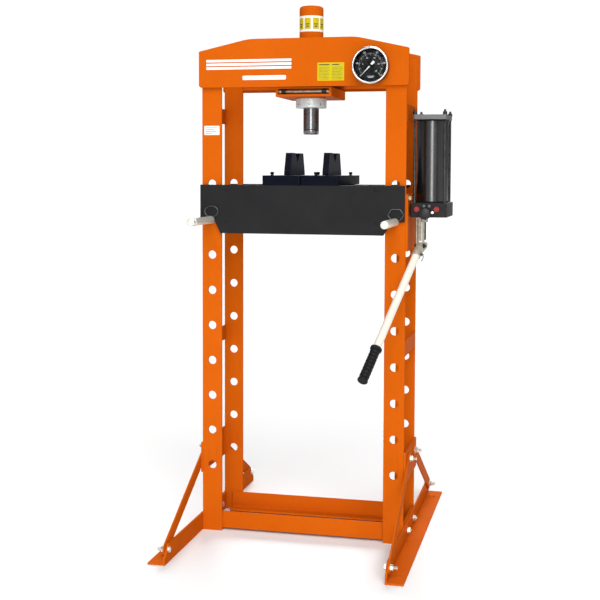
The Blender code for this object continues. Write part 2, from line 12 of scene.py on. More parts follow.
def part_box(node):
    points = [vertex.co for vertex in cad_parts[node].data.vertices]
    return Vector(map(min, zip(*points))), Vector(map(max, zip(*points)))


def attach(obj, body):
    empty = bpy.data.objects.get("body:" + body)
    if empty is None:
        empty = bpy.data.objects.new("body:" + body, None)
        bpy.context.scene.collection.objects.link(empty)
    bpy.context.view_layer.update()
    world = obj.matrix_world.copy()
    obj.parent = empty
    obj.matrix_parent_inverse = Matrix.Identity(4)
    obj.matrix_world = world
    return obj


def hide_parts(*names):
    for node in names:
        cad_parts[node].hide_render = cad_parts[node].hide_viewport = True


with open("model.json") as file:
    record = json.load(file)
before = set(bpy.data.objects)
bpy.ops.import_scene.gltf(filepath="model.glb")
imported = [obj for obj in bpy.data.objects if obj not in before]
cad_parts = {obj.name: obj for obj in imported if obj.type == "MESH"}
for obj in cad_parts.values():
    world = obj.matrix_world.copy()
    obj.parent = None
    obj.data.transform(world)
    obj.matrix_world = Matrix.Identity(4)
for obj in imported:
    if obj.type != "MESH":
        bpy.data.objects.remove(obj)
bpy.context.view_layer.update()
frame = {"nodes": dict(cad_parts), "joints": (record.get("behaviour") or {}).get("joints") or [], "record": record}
scene = bpy.context.scene
random.seed(7)


# --- places taken from the CAD ---
def centre(*nodes):
    corners = [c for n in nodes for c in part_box(n)]
    low = Vector([min(c[k] for c in corners) for k in range(3)])
    high = Vector([max(c[k] for c in corners) for k in range(3)])
    return (low + high) / 2


UP = (0, 0, 1)
FRONTWARD = (0, -1, 0)
SIDES = ("left", "right")
DEPTHS = ("front", "rear")
BODY_OF = {n: b for b, names in frame["record"]["behaviour"]["bodies"].items() for n in names}
UPRIGHTS = [f"upright_{d}_{s}" for d in DEPTHS for s in SIDES]
MIDDLE = centre(*UPRIGHTS)
MIDDLE.z = 0
CYLINDER = centre("ram_pad")
PUMP = centre("tank_tube")
GAUGE = centre("gauge_bezel")
KNOB = centre("release_knob")
PLUNGER = centre("plunger")
LEVER_AXIS = Vector(next(j for j in frame["joints"] if j["name"] == "lever_swing")["pos_m"])
LEVER_YAW = radians(14.6)
HANDLE_DIP = radians(40.2)

HOLE_PITCH = 0.118
LOWEST_HOLE = 0.224
HOLE_COUNT = 9
HOLE_R = 0.014
HEAD_FLAT_HALF = 0.178
HEAD_END_TOP = 1.602
COLUMN_X = 0.307
BAR_HALF = 0.0335  # half the width of an upright
END_PLATE = (0.3335, 0.3404)  # inner and outer face of a base end plate, from the middle
FOOT_FACE = 0.3470  # outer face of a foot's upright leg, from the middle
FOOT_BACK = 0.3405  # its inner face
BOLT_ACROSS = 0.017  # across the flats of a frame bolt
BRACKET_BOLT_Z = 1.125
VEE_NOTCH = 0.032
HANDLE_LENGTH = 0.574  # from the lever's pivot to the end of the grip
TUBE_START = 0.0303  # where the handle tube leaves its socket
GRIP_LENGTH = 0.130
GRIP_R = 0.015
HEX_SPAN = 24  # points round a hexagon, four to a side


def at(x, y, z):
    """A point given from the middle of the four columns, on the floor."""
    return MIDDLE + Vector((x, y, z))


# --- materials ---
def nodes_of(name):
    material = bpy.data.materials.new(name)
    material.use_nodes = True
    tree = material.node_tree
    shader = tree.nodes["Principled BSDF"]
    return material, tree, shader


def fill(tree, node, **inputs):
    """Sets a node's inputs: each is a plain value or another node's outlet. _ stands for a space."""
    for key, value in inputs.items():
        socket = node.inputs[key.replace("_", " ")]
        if isinstance(value, bpy.types.NodeSocket):
            tree.links.new(value, socket)
        else:
            socket.default_value = value


def add(tree, kind, outlet, **inputs):
    """Adds a shader node and returns its outlet of that name."""
    node = tree.nodes.new(f"ShaderNode{kind}")
    fill(tree, node, **inputs)
    return node.outputs[outlet]


def noise(tree, scale, detail=3.0, rough=0.5, stretch=(1, 1, 1)):
    """Noise over the object's own metres; stretch squeezes it along an axis."""
    coords = add(tree, "TexCoord", "Object")
    place = add(tree, "Mapping", "Vector", Vector=coords, Scale=stretch)
    return add(tree, "TexNoise", "Fac", Vector=place, Scale=scale, Detail=detail, Roughness=rough)


def spread(tree, value, low, high, start=0.3, end=0.7):
    """The noise's usual range stretched over low to high."""
    return add(
        tree, "MapRange", "Result", Value=value, From_Min=start, From_Max=end, To_Min=low, To_Max=high,
    )


def tint(tree, value, dark, light):
    ramp = tree.nodes.new("ShaderNodeValToRGB")
    for stop, place, colour in zip(ramp.color_ramp.elements, (0.3, 0.7), (dark, light), strict=True):
        stop.position = place
        stop.color = (*colour, 1)
    fill(tree, ramp, Fac=value)
    return ramp.outputs["Color"]


def bump(tree, shader, value, depth, strength, **under):
    """Bumps the shader's surface, on top of another bump's normal if one is given as Normal."""
    normal = add(tree, "Bump", "Normal", Height=value, Distance=depth, Strength=strength, **under)
    fill(tree, shader, Normal=normal)
    return {"Normal": normal}


def surface(
    name, dark, light, rough, metal=0.0, tone=9.0, grain=None, lumps=None, stretch=(1, 1, 1), specular=0.5,
):
    """Colour that wanders between two tones, roughness that wanders too, and one or two sizes of bump."""
    material, tree, shader = nodes_of(name)
    wander = noise(tree, tone, 4, 0.6, stretch)
    patch = noise(tree, tone * 3.1, 3, 0.55, stretch)
    fill(tree, shader, Base_Color=tint(tree, wander, dark, light), Roughness=spread(tree, patch, *rough))
    fill(tree, shader, Metallic=metal, Specular_IOR_Level=specular)
    under = {}
    if lumps:
        under = bump(tree, shader, noise(tree, lumps[0], 2, 0.5), lumps[1], 0.7)
    if grain:
        bump(tree, shader, noise(tree, grain[0], 2, 0.5, stretch), grain[1], 0.8, **under)
    return material


def turned_metal(name, dark, light, rough):
    """Bright turned metal with fine rings round an upright axis."""
    material, tree, shader = nodes_of(name)
    rings = tree.nodes.new("ShaderNodeTexNoise")
    rings.noise_dimensions = "1D"
    height = add(tree, "SeparateXYZ", "Z", Vector=add(tree, "TexCoord", "Object"))
    fill(tree, rings, Scale=900.0, Detail=2, W=height)
    fine = rings.outputs["Fac"]
    fill(tree, shader, Base_Color=tint(tree, noise(tree, 14, 4, 0.6), dark, light), Metallic=1.0)
    fill(tree, shader, Roughness=spread(tree, fine, *rough))
    bump(tree, shader, fine, 0.00006, 0.5)
    return material


ORANGE_DARK, ORANGE_LIGHT = (0.475, 0.085, 0.003), (0.52, 0.095, 0.0045)
M = {
    "paint": surface(
        "frame_paint", ORANGE_DARK, ORANGE_LIGHT, (0.36, 0.48), tone=5.0, grain=(1400, 0.00005),
        lumps=(260, 0.00007), specular=0.002,
    ),
    "bed": surface(
        "bed_paint", (0.010, 0.010, 0.011), (0.014, 0.014, 0.015), (0.48, 0.62), tone=6.0,
        grain=(1500, 0.00006), lumps=(300, 0.00006), specular=0.10,
    ),
    "iron": surface(
        "tooling_iron", (0.0008, 0.0013, 0.005), (0.002, 0.003, 0.009), (0.46, 0.60), 0.0, tone=30.0,
        grain=(900, 0.00012), lumps=(180, 0.00018), specular=0.06,
    ),
    "iron_side": surface(
        "tooling_iron_ground", (0.012, 0.016, 0.026), (0.018, 0.022, 0.034), (0.40, 0.54), 0.0, tone=40.0,
        grain=(700, 0.00008), stretch=(1, 1, 6), specular=0.08,
    ),
    "ram": turned_metal("ram_steel", (0.16, 0.16, 0.163), (0.22, 0.22, 0.223), (0.18, 0.28)),
    "nut": surface(
        "nut_steel", (0.54, 0.59, 0.59), (0.66, 0.71, 0.71), (0.36, 0.50), 0.25, tone=40.0,
        grain=(900, 0.00005), stretch=(0.3, 0.3, 4),
    ),
    "zinc": surface(
        "zinc_plate", (0.58, 0.58, 0.52), (0.80, 0.80, 0.74), (0.26, 0.42), 0.8, tone=70.0,
        grain=(900, 0.00004),
    ),
    "pin": surface(
        "zinc_pin", (0.66, 0.66, 0.56), (0.82, 0.81, 0.72), (0.30, 0.44), 0.45, tone=60.0,
        grain=(800, 0.00005), stretch=(3, 0.3, 3),
    ),
    "wire": surface(
        "spring_wire", (0.08, 0.08, 0.08), (0.16, 0.16, 0.16), (0.30, 0.42), 0.9, tone=90.0,
        grain=(900, 0.00003),
    ),
    "tank": surface(
        "pump_enamel", (0.003, 0.003, 0.004), (0.006, 0.006, 0.007), (0.20, 0.27), tone=12.0, specular=0.85,
    ),
    "block": surface(
        "pump_block", (0.008, 0.008, 0.008), (0.015, 0.015, 0.015), (0.48, 0.58), tone=30.0,
        grain=(900, 0.00006), lumps=(200, 0.00008), specular=0.14,
    ),
    "lid": surface(
        "pump_casting", (0.10, 0.10, 0.103), (0.14, 0.14, 0.144), (0.40, 0.54), 0.2, tone=40.0,
        grain=(800, 0.00009), specular=0.3,
    ),
    "rods": surface(
        "tie_rod_steel", (0.03, 0.03, 0.03), (0.07, 0.07, 0.07), (0.30, 0.42), 0.9, tone=60.0,
        grain=(900, 0.00003),
    ),
    "link": surface(
        "linkage_zinc", (0.30, 0.27, 0.20), (0.60, 0.56, 0.46), (0.34, 0.50), 0.55, tone=80.0,
        grain=(900, 0.00006),
    ),
    "white": surface(
        "handle_white", (0.70, 0.64, 0.55), (0.74, 0.68, 0.59), (0.26, 0.38), tone=14.0,
        lumps=(300, 0.00003), specular=0.4,
    ),
    "rubber": surface(
        "grip_rubber", (0.004, 0.004, 0.005), (0.008, 0.008, 0.009), (0.50, 0.66), tone=60.0,
        grain=(1600, 0.00008), specular=0.2,
    ),
    "plastic": surface(
        "knob_plastic", (0.006, 0.006, 0.007), (0.012, 0.012, 0.013), (0.34, 0.46), tone=60.0,
        grain=(1500, 0.00004), specular=0.3,
    ),
    "red": surface(
        "plug_plastic", (0.26, 0.010, 0.008), (0.36, 0.020, 0.016), (0.30, 0.42), tone=120.0,
        grain=(1200, 0.00005), specular=0.3,
    ),
    "case": surface(
        "gauge_case_black", (0.008, 0.008, 0.008), (0.014, 0.014, 0.014), (0.34, 0.46), tone=40.0,
        grain=(1200, 0.00004), specular=0.3,
    ),
    "chrome": surface(
        "gauge_chrome", (0.66, 0.66, 0.66), (0.80, 0.80, 0.80), (0.10, 0.20), 1.0, tone=30.0,
        grain=(500, 0.00001),
    ),
    "dial": surface(
        "gauge_dial_black", (0.004, 0.004, 0.004), (0.007, 0.007, 0.007), (0.5, 0.6), tone=40.0,
        grain=(1500, 0.00002), specular=0.2,
    ),
    "ink": surface(
        "white_print", (0.74, 0.74, 0.72), (0.82, 0.82, 0.80), (0.45, 0.55), tone=60.0, specular=0.2,
    ),
    "yellow": surface(
        "yellow_print", (0.46, 0.37, 0.003), (0.52, 0.42, 0.006), (0.42, 0.54), tone=60.0, specular=0.1,
    ),
    "grey_ink": surface(
        "grey_print", (0.16, 0.14, 0.02), (0.24, 0.21, 0.03), (0.5, 0.6), tone=60.0, specular=0.1,
    ),
    "dark_ink": surface(
        "dark_print", (0.03, 0.03, 0.03), (0.05, 0.05, 0.05), (0.5, 0.6), tone=60.0, specular=0.1,
    ),
}


def glass_material():
    material, tree, shader = nodes_of("gauge_glass")
    fill(tree, shader, Base_Color=(0.96, 0.98, 1.0, 1), Transmission_Weight=1.0, IOR=1.12)
    fill(tree, shader, Roughness=spread(tree, noise(tree, 60, 2), 0.0, 0.04))
    return material


M["glass"] = glass_material()


# --- mesh helpers ---
def piece(name, bm, material, *nodes, body=None, slot=None, bevel=0.0, smooth=32):
    """Turns a bmesh into a piece, in place of CAD nodes or on its own.

    material may be a list, by face index. A piece rides on its node's body, or on root.
    """
    bmesh.ops.recalc_face_normals(bm, faces=bm.faces)
    mesh = bpy.data.meshes.new(name)
    bm.to_mesh(mesh)
    bm.free()
    obj = bpy.data.objects.new(name, mesh)
    scene.collection.objects.link(obj)
    keys = material if isinstance(material, list) else [material]
    for key in keys:
        mesh.materials.append(M[key])
    mesh.shade_smooth()
    mesh.set_sharp_from_angle(angle=radians(smooth))
    if bevel:
        edge = obj.modifiers.new("Edges", "BEVEL")
        edge.width = bevel
        edge.segments = 2
        edge.limit_method = "ANGLE"
        edge.angle_limit = radians(smooth)
        edge.harden_normals = True
        edge.use_clamp_overlap = True
    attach(obj, body or (BODY_OF[nodes[0]] if nodes else "root"))
    if nodes:
        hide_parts(*nodes)
    return obj


def ring(x, y, radius, sides=40, turn=0.0):
    steps = [turn + 2 * pi * k / sides for k in range(sides)]
    return [(x + radius * cos(t), y + radius * sin(t)) for t in steps]


def rectangle(left, bottom, right, top):
    return [(left, bottom), (right, bottom), (right, top), (left, top)]


def rounded(points, radii, steps=8):
    """The polygon with its corners turned into arcs of the given radii."""
    out = []
    count = len(points)
    for k, radius in enumerate(radii):
        here = Vector(points[k])
        before, after = Vector(points[k - 1]) - here, Vector(points[(k + 1) % count]) - here
        if radius <= 0:
            out.append(tuple(here))
            continue
        half = before.angle(after) / 2
        reach = min(radius / tan(half), before.length * 0.48, after.length * 0.48)
        start, end = here + before.normalized() * reach, here + after.normalized() * reach
        for s in range(steps + 1):
            t = s / steps
            out.append(tuple((1 - t) ** 2 * start + 2 * t * (1 - t) * here + t * t * end))
    return out


AXES = {"X": (2, 0, 1), "Y": (0, 2, 1), "Z": (0, 1, 2)}


def slab(bm, outline, holes, low, high, facing):
    """A closed plate with holes: the outline lies across the facing axis, from low to high along it."""
    order = AXES[facing]
    fresh = bmesh.new()
    edges = []
    for loop in (outline, *holes):
        verts = [fresh.verts.new((a, b, low)) for a, b in loop]
        edges += [fresh.edges.new((v, verts[(k + 1) % len(verts)])) for k, v in enumerate(verts)]
    bmesh.ops.triangle_fill(fresh, use_beauty=True, edges=edges)
    grown = bmesh.ops.extrude_face_region(fresh, geom=fresh.faces[:], use_keep_orig=True)
    raised = [g for g in grown["geom"] if isinstance(g, bmesh.types.BMVert)]
    bmesh.ops.translate(fresh, verts=raised, vec=(0, 0, high - low))
    for v in fresh.verts:
        v.co = Vector([v.co[k] for k in order])
    absorb(bm, fresh)


def absorb(bm, other):
    """Adds all of another bmesh, which is then freed."""
    holder = bpy.data.meshes.new("holder")
    other.to_mesh(holder)
    other.free()
    bm.from_mesh(holder)
    bpy.data.meshes.remove(holder)


def turn_to(axis):
    return Vector(UP).rotation_difference(Vector(axis)).to_matrix().to_4x4()


def lathe(bm, profile, base, axis=UP, sides=48):
    """Adds a turned shape from a profile of (radius, height) points.

    A profile that never meets the axis closes on itself.
    """
    fresh = bmesh.new()
    verts = [fresh.verts.new((r, 0, h)) for r, h in profile]
    pairs = list(zip(verts, verts[1:], strict=False))
    if min(r for r, _ in profile) > 0:
        pairs.append((verts[-1], verts[0]))
    edges = [fresh.edges.new(pair) for pair in pairs]
    bmesh.ops.spin(fresh, geom=verts + edges, cent=(0, 0, 0), axis=UP, angle=2 * pi, steps=sides)
    bmesh.ops.remove_doubles(fresh, verts=fresh.verts, dist=1e-6)
    fresh.transform(Matrix.Translation(base) @ turn_to(axis))
    absorb(bm, fresh)


def prism(bm, loops, place):
    """Adds a shape skinned over rings of points that lie at rising heights; both ends are closed."""
    fresh = bmesh.new()
    rings = [[fresh.verts.new((x, y, h)) for x, y in loop] for h, loop in loops]
    for low, high in zip(rings, rings[1:], strict=False):
        for k in range(len(low)):
            n = (k + 1) % len(low)
            fresh.faces.new((low[k], low[n], high[n], high[k]))
    fresh.faces.new(rings[0])
    fresh.faces.new(rings[-1])
    fresh.transform(place)
    absorb(bm, fresh)


def turned(name, profile, base, axis, sides, *look, **edges):
    """A piece made of one turned shape."""
    bm = bmesh.new()
    lathe(bm, profile, base, axis, sides)
    return piece(name, bm, *look, **edges)


def plate(name, outline, holes, low, high, facing, *look, **edges):
    """A piece made of one slab."""
    bm = bmesh.new()
    slab(bm, outline, holes, low, high, facing)
    return piece(name, bm, *look, **edges)


def hexagon(bm, base, axis, across, height, washer=0.0, turn=0.3):
    """A chamfered hexagon head or nut on a washer, standing on base along axis."""
    place = Matrix.Translation(base) @ turn_to(axis)
    start = 0.0
    if washer:
        start = 0.0015
        rim = [(0, 0), (washer, 0), (washer, start - 0.0003), (washer - 0.0004, start), (0, start)]
        lathe(bm, rim, base, axis, 28)
    corner = across / sqrt(3)
    cut = corner - across / 2
    steps = []
    for height_at, shrink in ((start, 0.0), (start + height - cut * 0.7, 0.0), (start + height, 1.0)):
        loop = []
        for k in range(HEX_SPAN):
            angle = turn + 2 * pi * k / HEX_SPAN
            flat = across / 2 / max(cos(((angle - turn) % (pi / 3)) - pi / 6), 1e-6)
            radius = min(flat, corner) if not shrink else min(flat, across / 2)
            loop.append((radius * cos(angle), radius * sin(angle)))
        steps.append((height_at, loop))
    prism(bm, steps, place)


def bolt_end(bm, base, axis, radius, length):
    """A threaded end that stands out of a nut."""
    profile = [(0, 0)]
    for k in range(int(length / 0.0012)):
        profile += [(radius, k * 0.0012), (radius - 0.0004, k * 0.0012 + 0.0006)]
    profile += [(radius - 0.0008, length), (0, length)]
    lathe(bm, profile, base, axis, 16)


def tube_along(bm, points, radius, sides=12, closed=False, ripple=0.0):
    """A round bar along points, its ends closed unless the path is a loop."""
    fresh = bmesh.new()
    count = len(points)
    rings = []
    up = Vector((0.13, 0.31, 0.94)).normalized()
    for k, point in enumerate(points):
        ahead = points[(k + 1) % count] if closed or k < count - 1 else point
        behind = points[k - 1] if closed or k > 0 else point
        along = (Vector(ahead) - Vector(behind)).normalized()
        side = along.cross(up).normalized()
        top = side.cross(along)
        r = radius * (1 + ripple * sin(k * 2.1) + ripple * 0.5 * random.random()) if ripple else radius
        turns = [2 * pi * s / sides for s in range(sides)]
        rings.append([fresh.verts.new(Vector(point) + side * r * cos(t) + top * r * sin(t)) for t in turns])
    pairs = list(zip(rings, rings[1:], strict=False)) + ([(rings[-1], rings[0])] if closed else [])
    for low, high in pairs:
        for k in range(sides):
            n = (k + 1) % sides
            fresh.faces.new((low[k], low[n], high[n], high[k]))
    if not closed:
        fresh.faces.new(rings[0])
        fresh.faces.new(rings[-1])
    absorb(bm, fresh)


def weld(bm, start, end, radius=0.0022):
    """A rippled fillet weld in a corner."""
    start, end = Vector(start), Vector(end)
    steps = max(6, int((end - start).length / 0.0016))
    points = [start.lerp(end, k / steps) for k in range(steps + 1)]
    tube_along(bm, points, radius, 8, ripple=0.14)


def block(bm, low, high):
    low, high = Vector(low), Vector(high)
    bmesh.ops.create_cube(
        bm, size=1, matrix=Matrix.Translation((low + high) / 2) @ Matrix.Diagonal((*(high - low), 1)),
    )


def cut_by(obj, bm):
    """Takes a bmesh's shape out of a piece, before its other modifiers."""
    bmesh.ops.recalc_face_normals(bm, faces=bm.faces)
    mesh = bpy.data.meshes.new(obj.name + "_cut")
    bm.to_mesh(mesh)
    bm.free()
    cutter = bpy.data.objects.new(obj.name + "_cut", mesh)
    scene.collection.objects.link(cutter)
    modifier = obj.modifiers.new("Cut", "BOOLEAN")
    modifier.operation = "DIFFERENCE"
    modifier.object = cutter
    others = [m for m in obj.modifiers if m.name != "Cut"]
    for m in others:
        m.show_viewport = False
    bpy.context.view_layer.update()
    graph = bpy.context.evaluated_depsgraph_get()
    cut = bpy.data.meshes.new_from_object(obj.evaluated_get(graph))
    obj.modifiers.remove(modifier)
    for m in others:
        m.show_viewport = True
    obj.data = cut
    cut.shade_smooth()
    cut.set_sharp_from_angle(angle=radians(32))
    bpy.data.objects.remove(cutter)


def refined(node, material, bevel=0.0008, slot=None):
    """The CAD node's own shape, cleaned and with rounded edges, in place of the plain node."""
    bm = bmesh.new()
    bm.from_mesh(frame["nodes"][node].data)
    bmesh.ops.remove_doubles(bm, verts=bm.verts, dist=1e-5)
    bmesh.ops.dissolve_limit(bm, angle_limit=radians(0.5), verts=bm.verts, edges=bm.edges)
    return piece(f"{node}_shaped", bm, material, node, slot=slot, bevel=bevel)


# --- painted frame ---
def build_frame():
    for node in UPRIGHTS:
        low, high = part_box(node)
        x = (low.x + high.x) / 2
        holes = [ring(x, LOWEST_HOLE + HOLE_PITCH * k, HOLE_R) for k in range(HOLE_COUNT)]
        plate(
            f"{node}_bar", rectangle(low.x, low.z, high.x, high.z), holes, low.y, high.y, "Y", "paint",
            node, bevel=0.0008,
        )
    for depth in DEPTHS:
        node = f"head_plate_{depth}"
        low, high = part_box(node)
        x = (low.x + high.x) / 2
        outline = [
            (low.x + 0.006, low.z),
            (high.x - 0.006, low.z),
            (high.x, low.z + 0.006),
            (high.x, HEAD_END_TOP),
            (x + HEAD_FLAT_HALF, high.z),
            (x - HEAD_FLAT_HALF, high.z),
            (low.x, HEAD_END_TOP),
            (low.x, low.z + 0.006),
        ]
        plate(
            f"{node}_flame_cut", rounded(outline, (0.002, 0.002, 0.002, 0.004, 0.20, 0.20, 0.004, 0.002)),
            [], low.y, high.y, "Y", "paint", node, bevel=0.0012,
        )
        refined(f"head_rail_{depth}", "paint", 0.001)
        refined(f"base_bar_{depth}", "paint", 0.001)
    for side in SIDES:
        for node in (
            f"batten_upper_{side}", f"batten_middle_{side}", f"brace_plate_{side}", f"foot_{side}",
        ):
            refined(node, "paint", 0.0009)
        for depth in DEPTHS:
            refined(f"brace_{depth}_{side}", "paint", 0.0009)
    refined("pump_bracket", "paint", 0.0009)
    bm = bmesh.new()
    for sign in (-1, 1):
        left, right = sorted(sign * x for x in END_PLATE)
        block(bm, at(left, -0.1176, 0.004), at(right, 0.1176, 0.060))
    piece("base_end_plates", bm, "paint", bevel=0.0009)
    build_welds()


def build_welds():
    bm = bmesh.new()
    for side in SIDES:
        for part in ("batten_upper", "batten_middle", "brace_plate"):
            low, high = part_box(f"{part}_{side}")
            inner = low.x if side == "right" else high.x
            corner = 0.0095 if part == "brace_plate" else 0.0005
            for y in (low.y + corner, high.y - corner):
                weld(bm, (inner, y, low.z + 0.004), (inner, y, high.z - 0.004))
    for depth in DEPTHS:
        low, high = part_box(f"base_bar_{depth}")
        bar_low, bar_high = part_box(f"upright_{depth}_left")
        outer = low.y if depth == "front" else high.y
        inward = outer + (0.0063 if depth == "front" else -0.0063)
        against = bar_high.y if depth == "front" else bar_low.y
        for sign in (-1, 1):
            edge = MIDDLE.x + sign * (COLUMN_X - BAR_HALF)
            weld(bm, (edge, against, low.z + 0.003), (edge, against, high.z - 0.003), 0.0026)
            end = MIDDLE.x + sign * COLUMN_X
            weld(bm, (end, inward, low.z + 0.003), (end, inward, high.z - 0.003), 0.002)
        head_low, head_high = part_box(f"head_plate_{depth}")
        face = head_high.y if depth == "front" else head_low.y
        for sign in (-1, 1):
            for offset in (-BAR_HALF, BAR_HALF):
                edge = MIDDLE.x + sign * (COLUMN_X + offset)
                weld(bm, (edge, face, head_low.z + 0.006), (edge, face, HEAD_END_TOP - 0.018), 0.0026)
        rail_low, rail_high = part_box(f"head_rail_{depth}")
        weld(bm, (rail_low.x + 0.01, face, rail_low.z), (rail_low.x + 0.09, face, rail_low.z), 0.002)
        weld(bm, (rail_high.x - 0.09, face, rail_low.z), (rail_high.x - 0.01, face, rail_low.z), 0.002)
    piece("weld_beads", bm, "paint", smooth=60)


def build_fasteners():
    """Zinc bolts, nuts and washers of the feet, braces and pump bracket."""
    bm = bmesh.new()
    for side, sign in (("left", -1), ("right", 1)):
        outward, inward = (sign, 0, 0), (-sign, 0, 0)
        foot_face = MIDDLE.x + sign * FOOT_FACE
        foot_back = MIDDLE.x + sign * FOOT_BACK
        brace_low, brace_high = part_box(f"brace_front_{side}")
        brace_face = brace_high.x if sign > 0 else brace_low.x
        plate_low, plate_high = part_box(f"brace_plate_{side}")
        back = plate_low.x if sign > 0 else plate_high.x
        for face in (-1, 1):
            for y, z, behind in ((0.476, 0.042, foot_back), (0.060, 0.268, back)):
                y = MIDDLE.y + face * y
                hexagon(bm, (brace_face, y, z), outward, BOLT_ACROSS, 0.008, 0.0115, turn=0.2 * face)
                bolt_end(bm, (brace_face + sign * 0.0095, y, z), outward, 0.005, 0.0125)
                hexagon(bm, (behind, y, z), inward, BOLT_ACROSS, 0.0065, 0.0, turn=0.5)
            y = MIDDLE.y + face * 0.071
            hexagon(bm, (foot_face, y, 0.030), outward, BOLT_ACROSS, 0.008, 0.0115, turn=0.3 * face)
            bolt_end(bm, (foot_face + sign * 0.0095, y, 0.030), outward, 0.005, 0.003)
            hexagon(
                bm, (MIDDLE.x + sign * END_PLATE[0], y, 0.030), inward, BOLT_ACROSS, 0.0065, 0.0, turn=0.1,
            )
    bracket_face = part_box("pump_bracket")[1].x
    for y in (-0.1, 0.1):
        hexagon(bm, (bracket_face, MIDDLE.y + y, BRACKET_BOLT_Z), (1, 0, 0), 0.013, 0.006, 0.009)
    piece("zinc_fasteners", bm, "zinc", smooth=28)


# --- bed, tooling and pins ---
def build_bed():
    for depth in DEPTHS:
        refined(f"bed_beam_{depth}", "bed", 0.0012)
    for side in SIDES:
        refined(f"bed_spacer_{side}", "bed", 0.0008)
    bm = bmesh.new()
    front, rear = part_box("bed_beam_front")[0].y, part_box("bed_beam_rear")[1].y
    for side in SIDES:
        x = centre(f"bed_spacer_{side}").x
        for z in (1.045, 1.150):
            for y, way in ((front, -1), (rear, 1)):
                dome = [
                    (0, 0), (0.0052, 0), (0.0052, 0.0006), (0.0046, 0.0018), (0.003, 0.0026), (0, 0.003),
                ]
                lathe(bm, dome, (x, y, z), (0, way, 0), 24)
    piece("bed_rivets", bm, "bed", body="bed")
    for side in SIDES:
        build_press_plate(side)
        build_vee(side)


def build_press_plate(side):
    node = f"press_plate_{side}"
    low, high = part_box(node)
    corner = 0.005
    outline = rounded(rectangle(low.x, low.y, high.x, high.y), (corner,) * 4, 4)
    obj = plate(
        f"{node}_forged", outline, [], low.z, high.z, "Z", ["iron", "iron_side"], node, bevel=0.0018,
    )
    cutter = bmesh.new()
    block(
        cutter, (low.x + 0.012, low.y - 0.01, low.z - 0.01),
        (high.x - 0.012, low.y + 0.0012, low.z + 0.012),
    )
    cut_by(obj, cutter)
    for face in obj.data.polygons:
        face.material_index = 1 if face.normal.y < -0.8 and face.center.z > low.z + 0.02 else 0
    screws = bmesh.new()
    spots = ((-0.1007, -0.130), (-0.020, 0.205)) if side == "left" else ((0.0456, -0.130), (0.110, 0.135))
    for x, y in spots:
        neck = [(0, 0), (0.0056, 0), (0.0056, 0.002), (0.0030, 0.0024), (0.0030, 0.0034)]
        head = [
            (0.0055, 0.0036), (0.0060, 0.0044), (0.0060, 0.0108), (0.0053, 0.0116), (0.0030, 0.0116),
            (0.0030, 0.0076), (0, 0.0076),
        ]
        lathe(screws, neck + head, at(x, y, high.z), sides=28)
    piece(f"locating_screws_{side}", screws, "iron", body=BODY_OF[node])


def build_vee(side):
    node = f"v_block_{side}"
    low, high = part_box(node)
    middle = (low.y + high.y) / 2
    notch, base, top = VEE_NOTCH, (high.y - low.y) / 2, (high.y - low.y) / 2 - 0.024
    outline = [
        (middle - base, low.z),
        (middle + base, low.z),
        (middle + base, low.z + 0.010),
        (middle + top, high.z),
        (middle + notch, high.z),
        (middle, high.z - notch),
        (middle - notch, high.z),
        (middle - top, high.z),
        (middle - base, low.z + 0.010),
    ]
    obj = plate(
        f"{node}_forged",
        rounded(outline, (0.001, 0.001, 0.002, 0.004, 0.002, 0.003, 0.002, 0.004, 0.002), 4), [], low.x,
        high.x, "X", ["iron", "iron_side"], node, bevel=0.0016,
    )
    for face in obj.data.polygons:
        face.material_index = 1 if abs(face.normal.x) > 0.9 else 0


def build_pins():
    for side in SIDES:
        node = f"pin_{side}"
        low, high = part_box(node)
        x, z = (low.x + high.x) / 2, (low.z + high.z) / 2
        r, length = (high.x - low.x) / 2, high.y - low.y
        groove = length - 0.022
        profile = [
            (0, 0), (r - 0.0025, 0), (r - 0.0008, 0.0008), (r, 0.0025), (r, groove - 0.0035),
            (r - 0.0006, groove - 0.0028),
        ]
        profile += [
            (r - 0.002, groove - 0.0022), (r - 0.002, groove + 0.0022), (r - 0.0006, groove + 0.0028),
        ]
        profile += [
            (r, groove + 0.0035), (r, length - 0.003), (r - 0.001, length - 0.0012), (r - 0.003, length),
            (0.0035, length),
        ]
        profile += [(0.0015, length - 0.0015), (0, length - 0.0016)]
        turned(f"{node}_turned", profile, (x, high.y, z), FRONTWARD, 40, "pin", node)
        build_pull_ring(side, x, z, r)


def build_pull_ring(side, x, z, r):
    """A wire loop through the pin, lying back against the bed."""
    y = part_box("bed_beam_front")[0].y - 0.006
    if side == "left":
        loop = [(0.0225 * cos(t), 0.0060 + 0.0180 * sin(t)) for t in [2 * pi * k / 48 for k in range(48)]]
    else:
        corners = [
            (-0.011, -0.019), (0.011, -0.019), (0.026, 0.000), (0.014, 0.019), (-0.014, 0.019),
            (-0.026, 0.000),
        ]
        loop = rounded(corners, (0.006,) * 6, 5)
    bm = bmesh.new()
    points = [Vector((x + 0.004 + a, y - 0.0015 * cos(b * 60), z + r * 0.3 + 0.0185 + b)) for a, b in loop]
    tube_along(bm, points, 0.0013, 8, closed=True)
    piece(f"pull_ring_{side}", bm, "wire", body=f"pin_{side}", smooth=60)


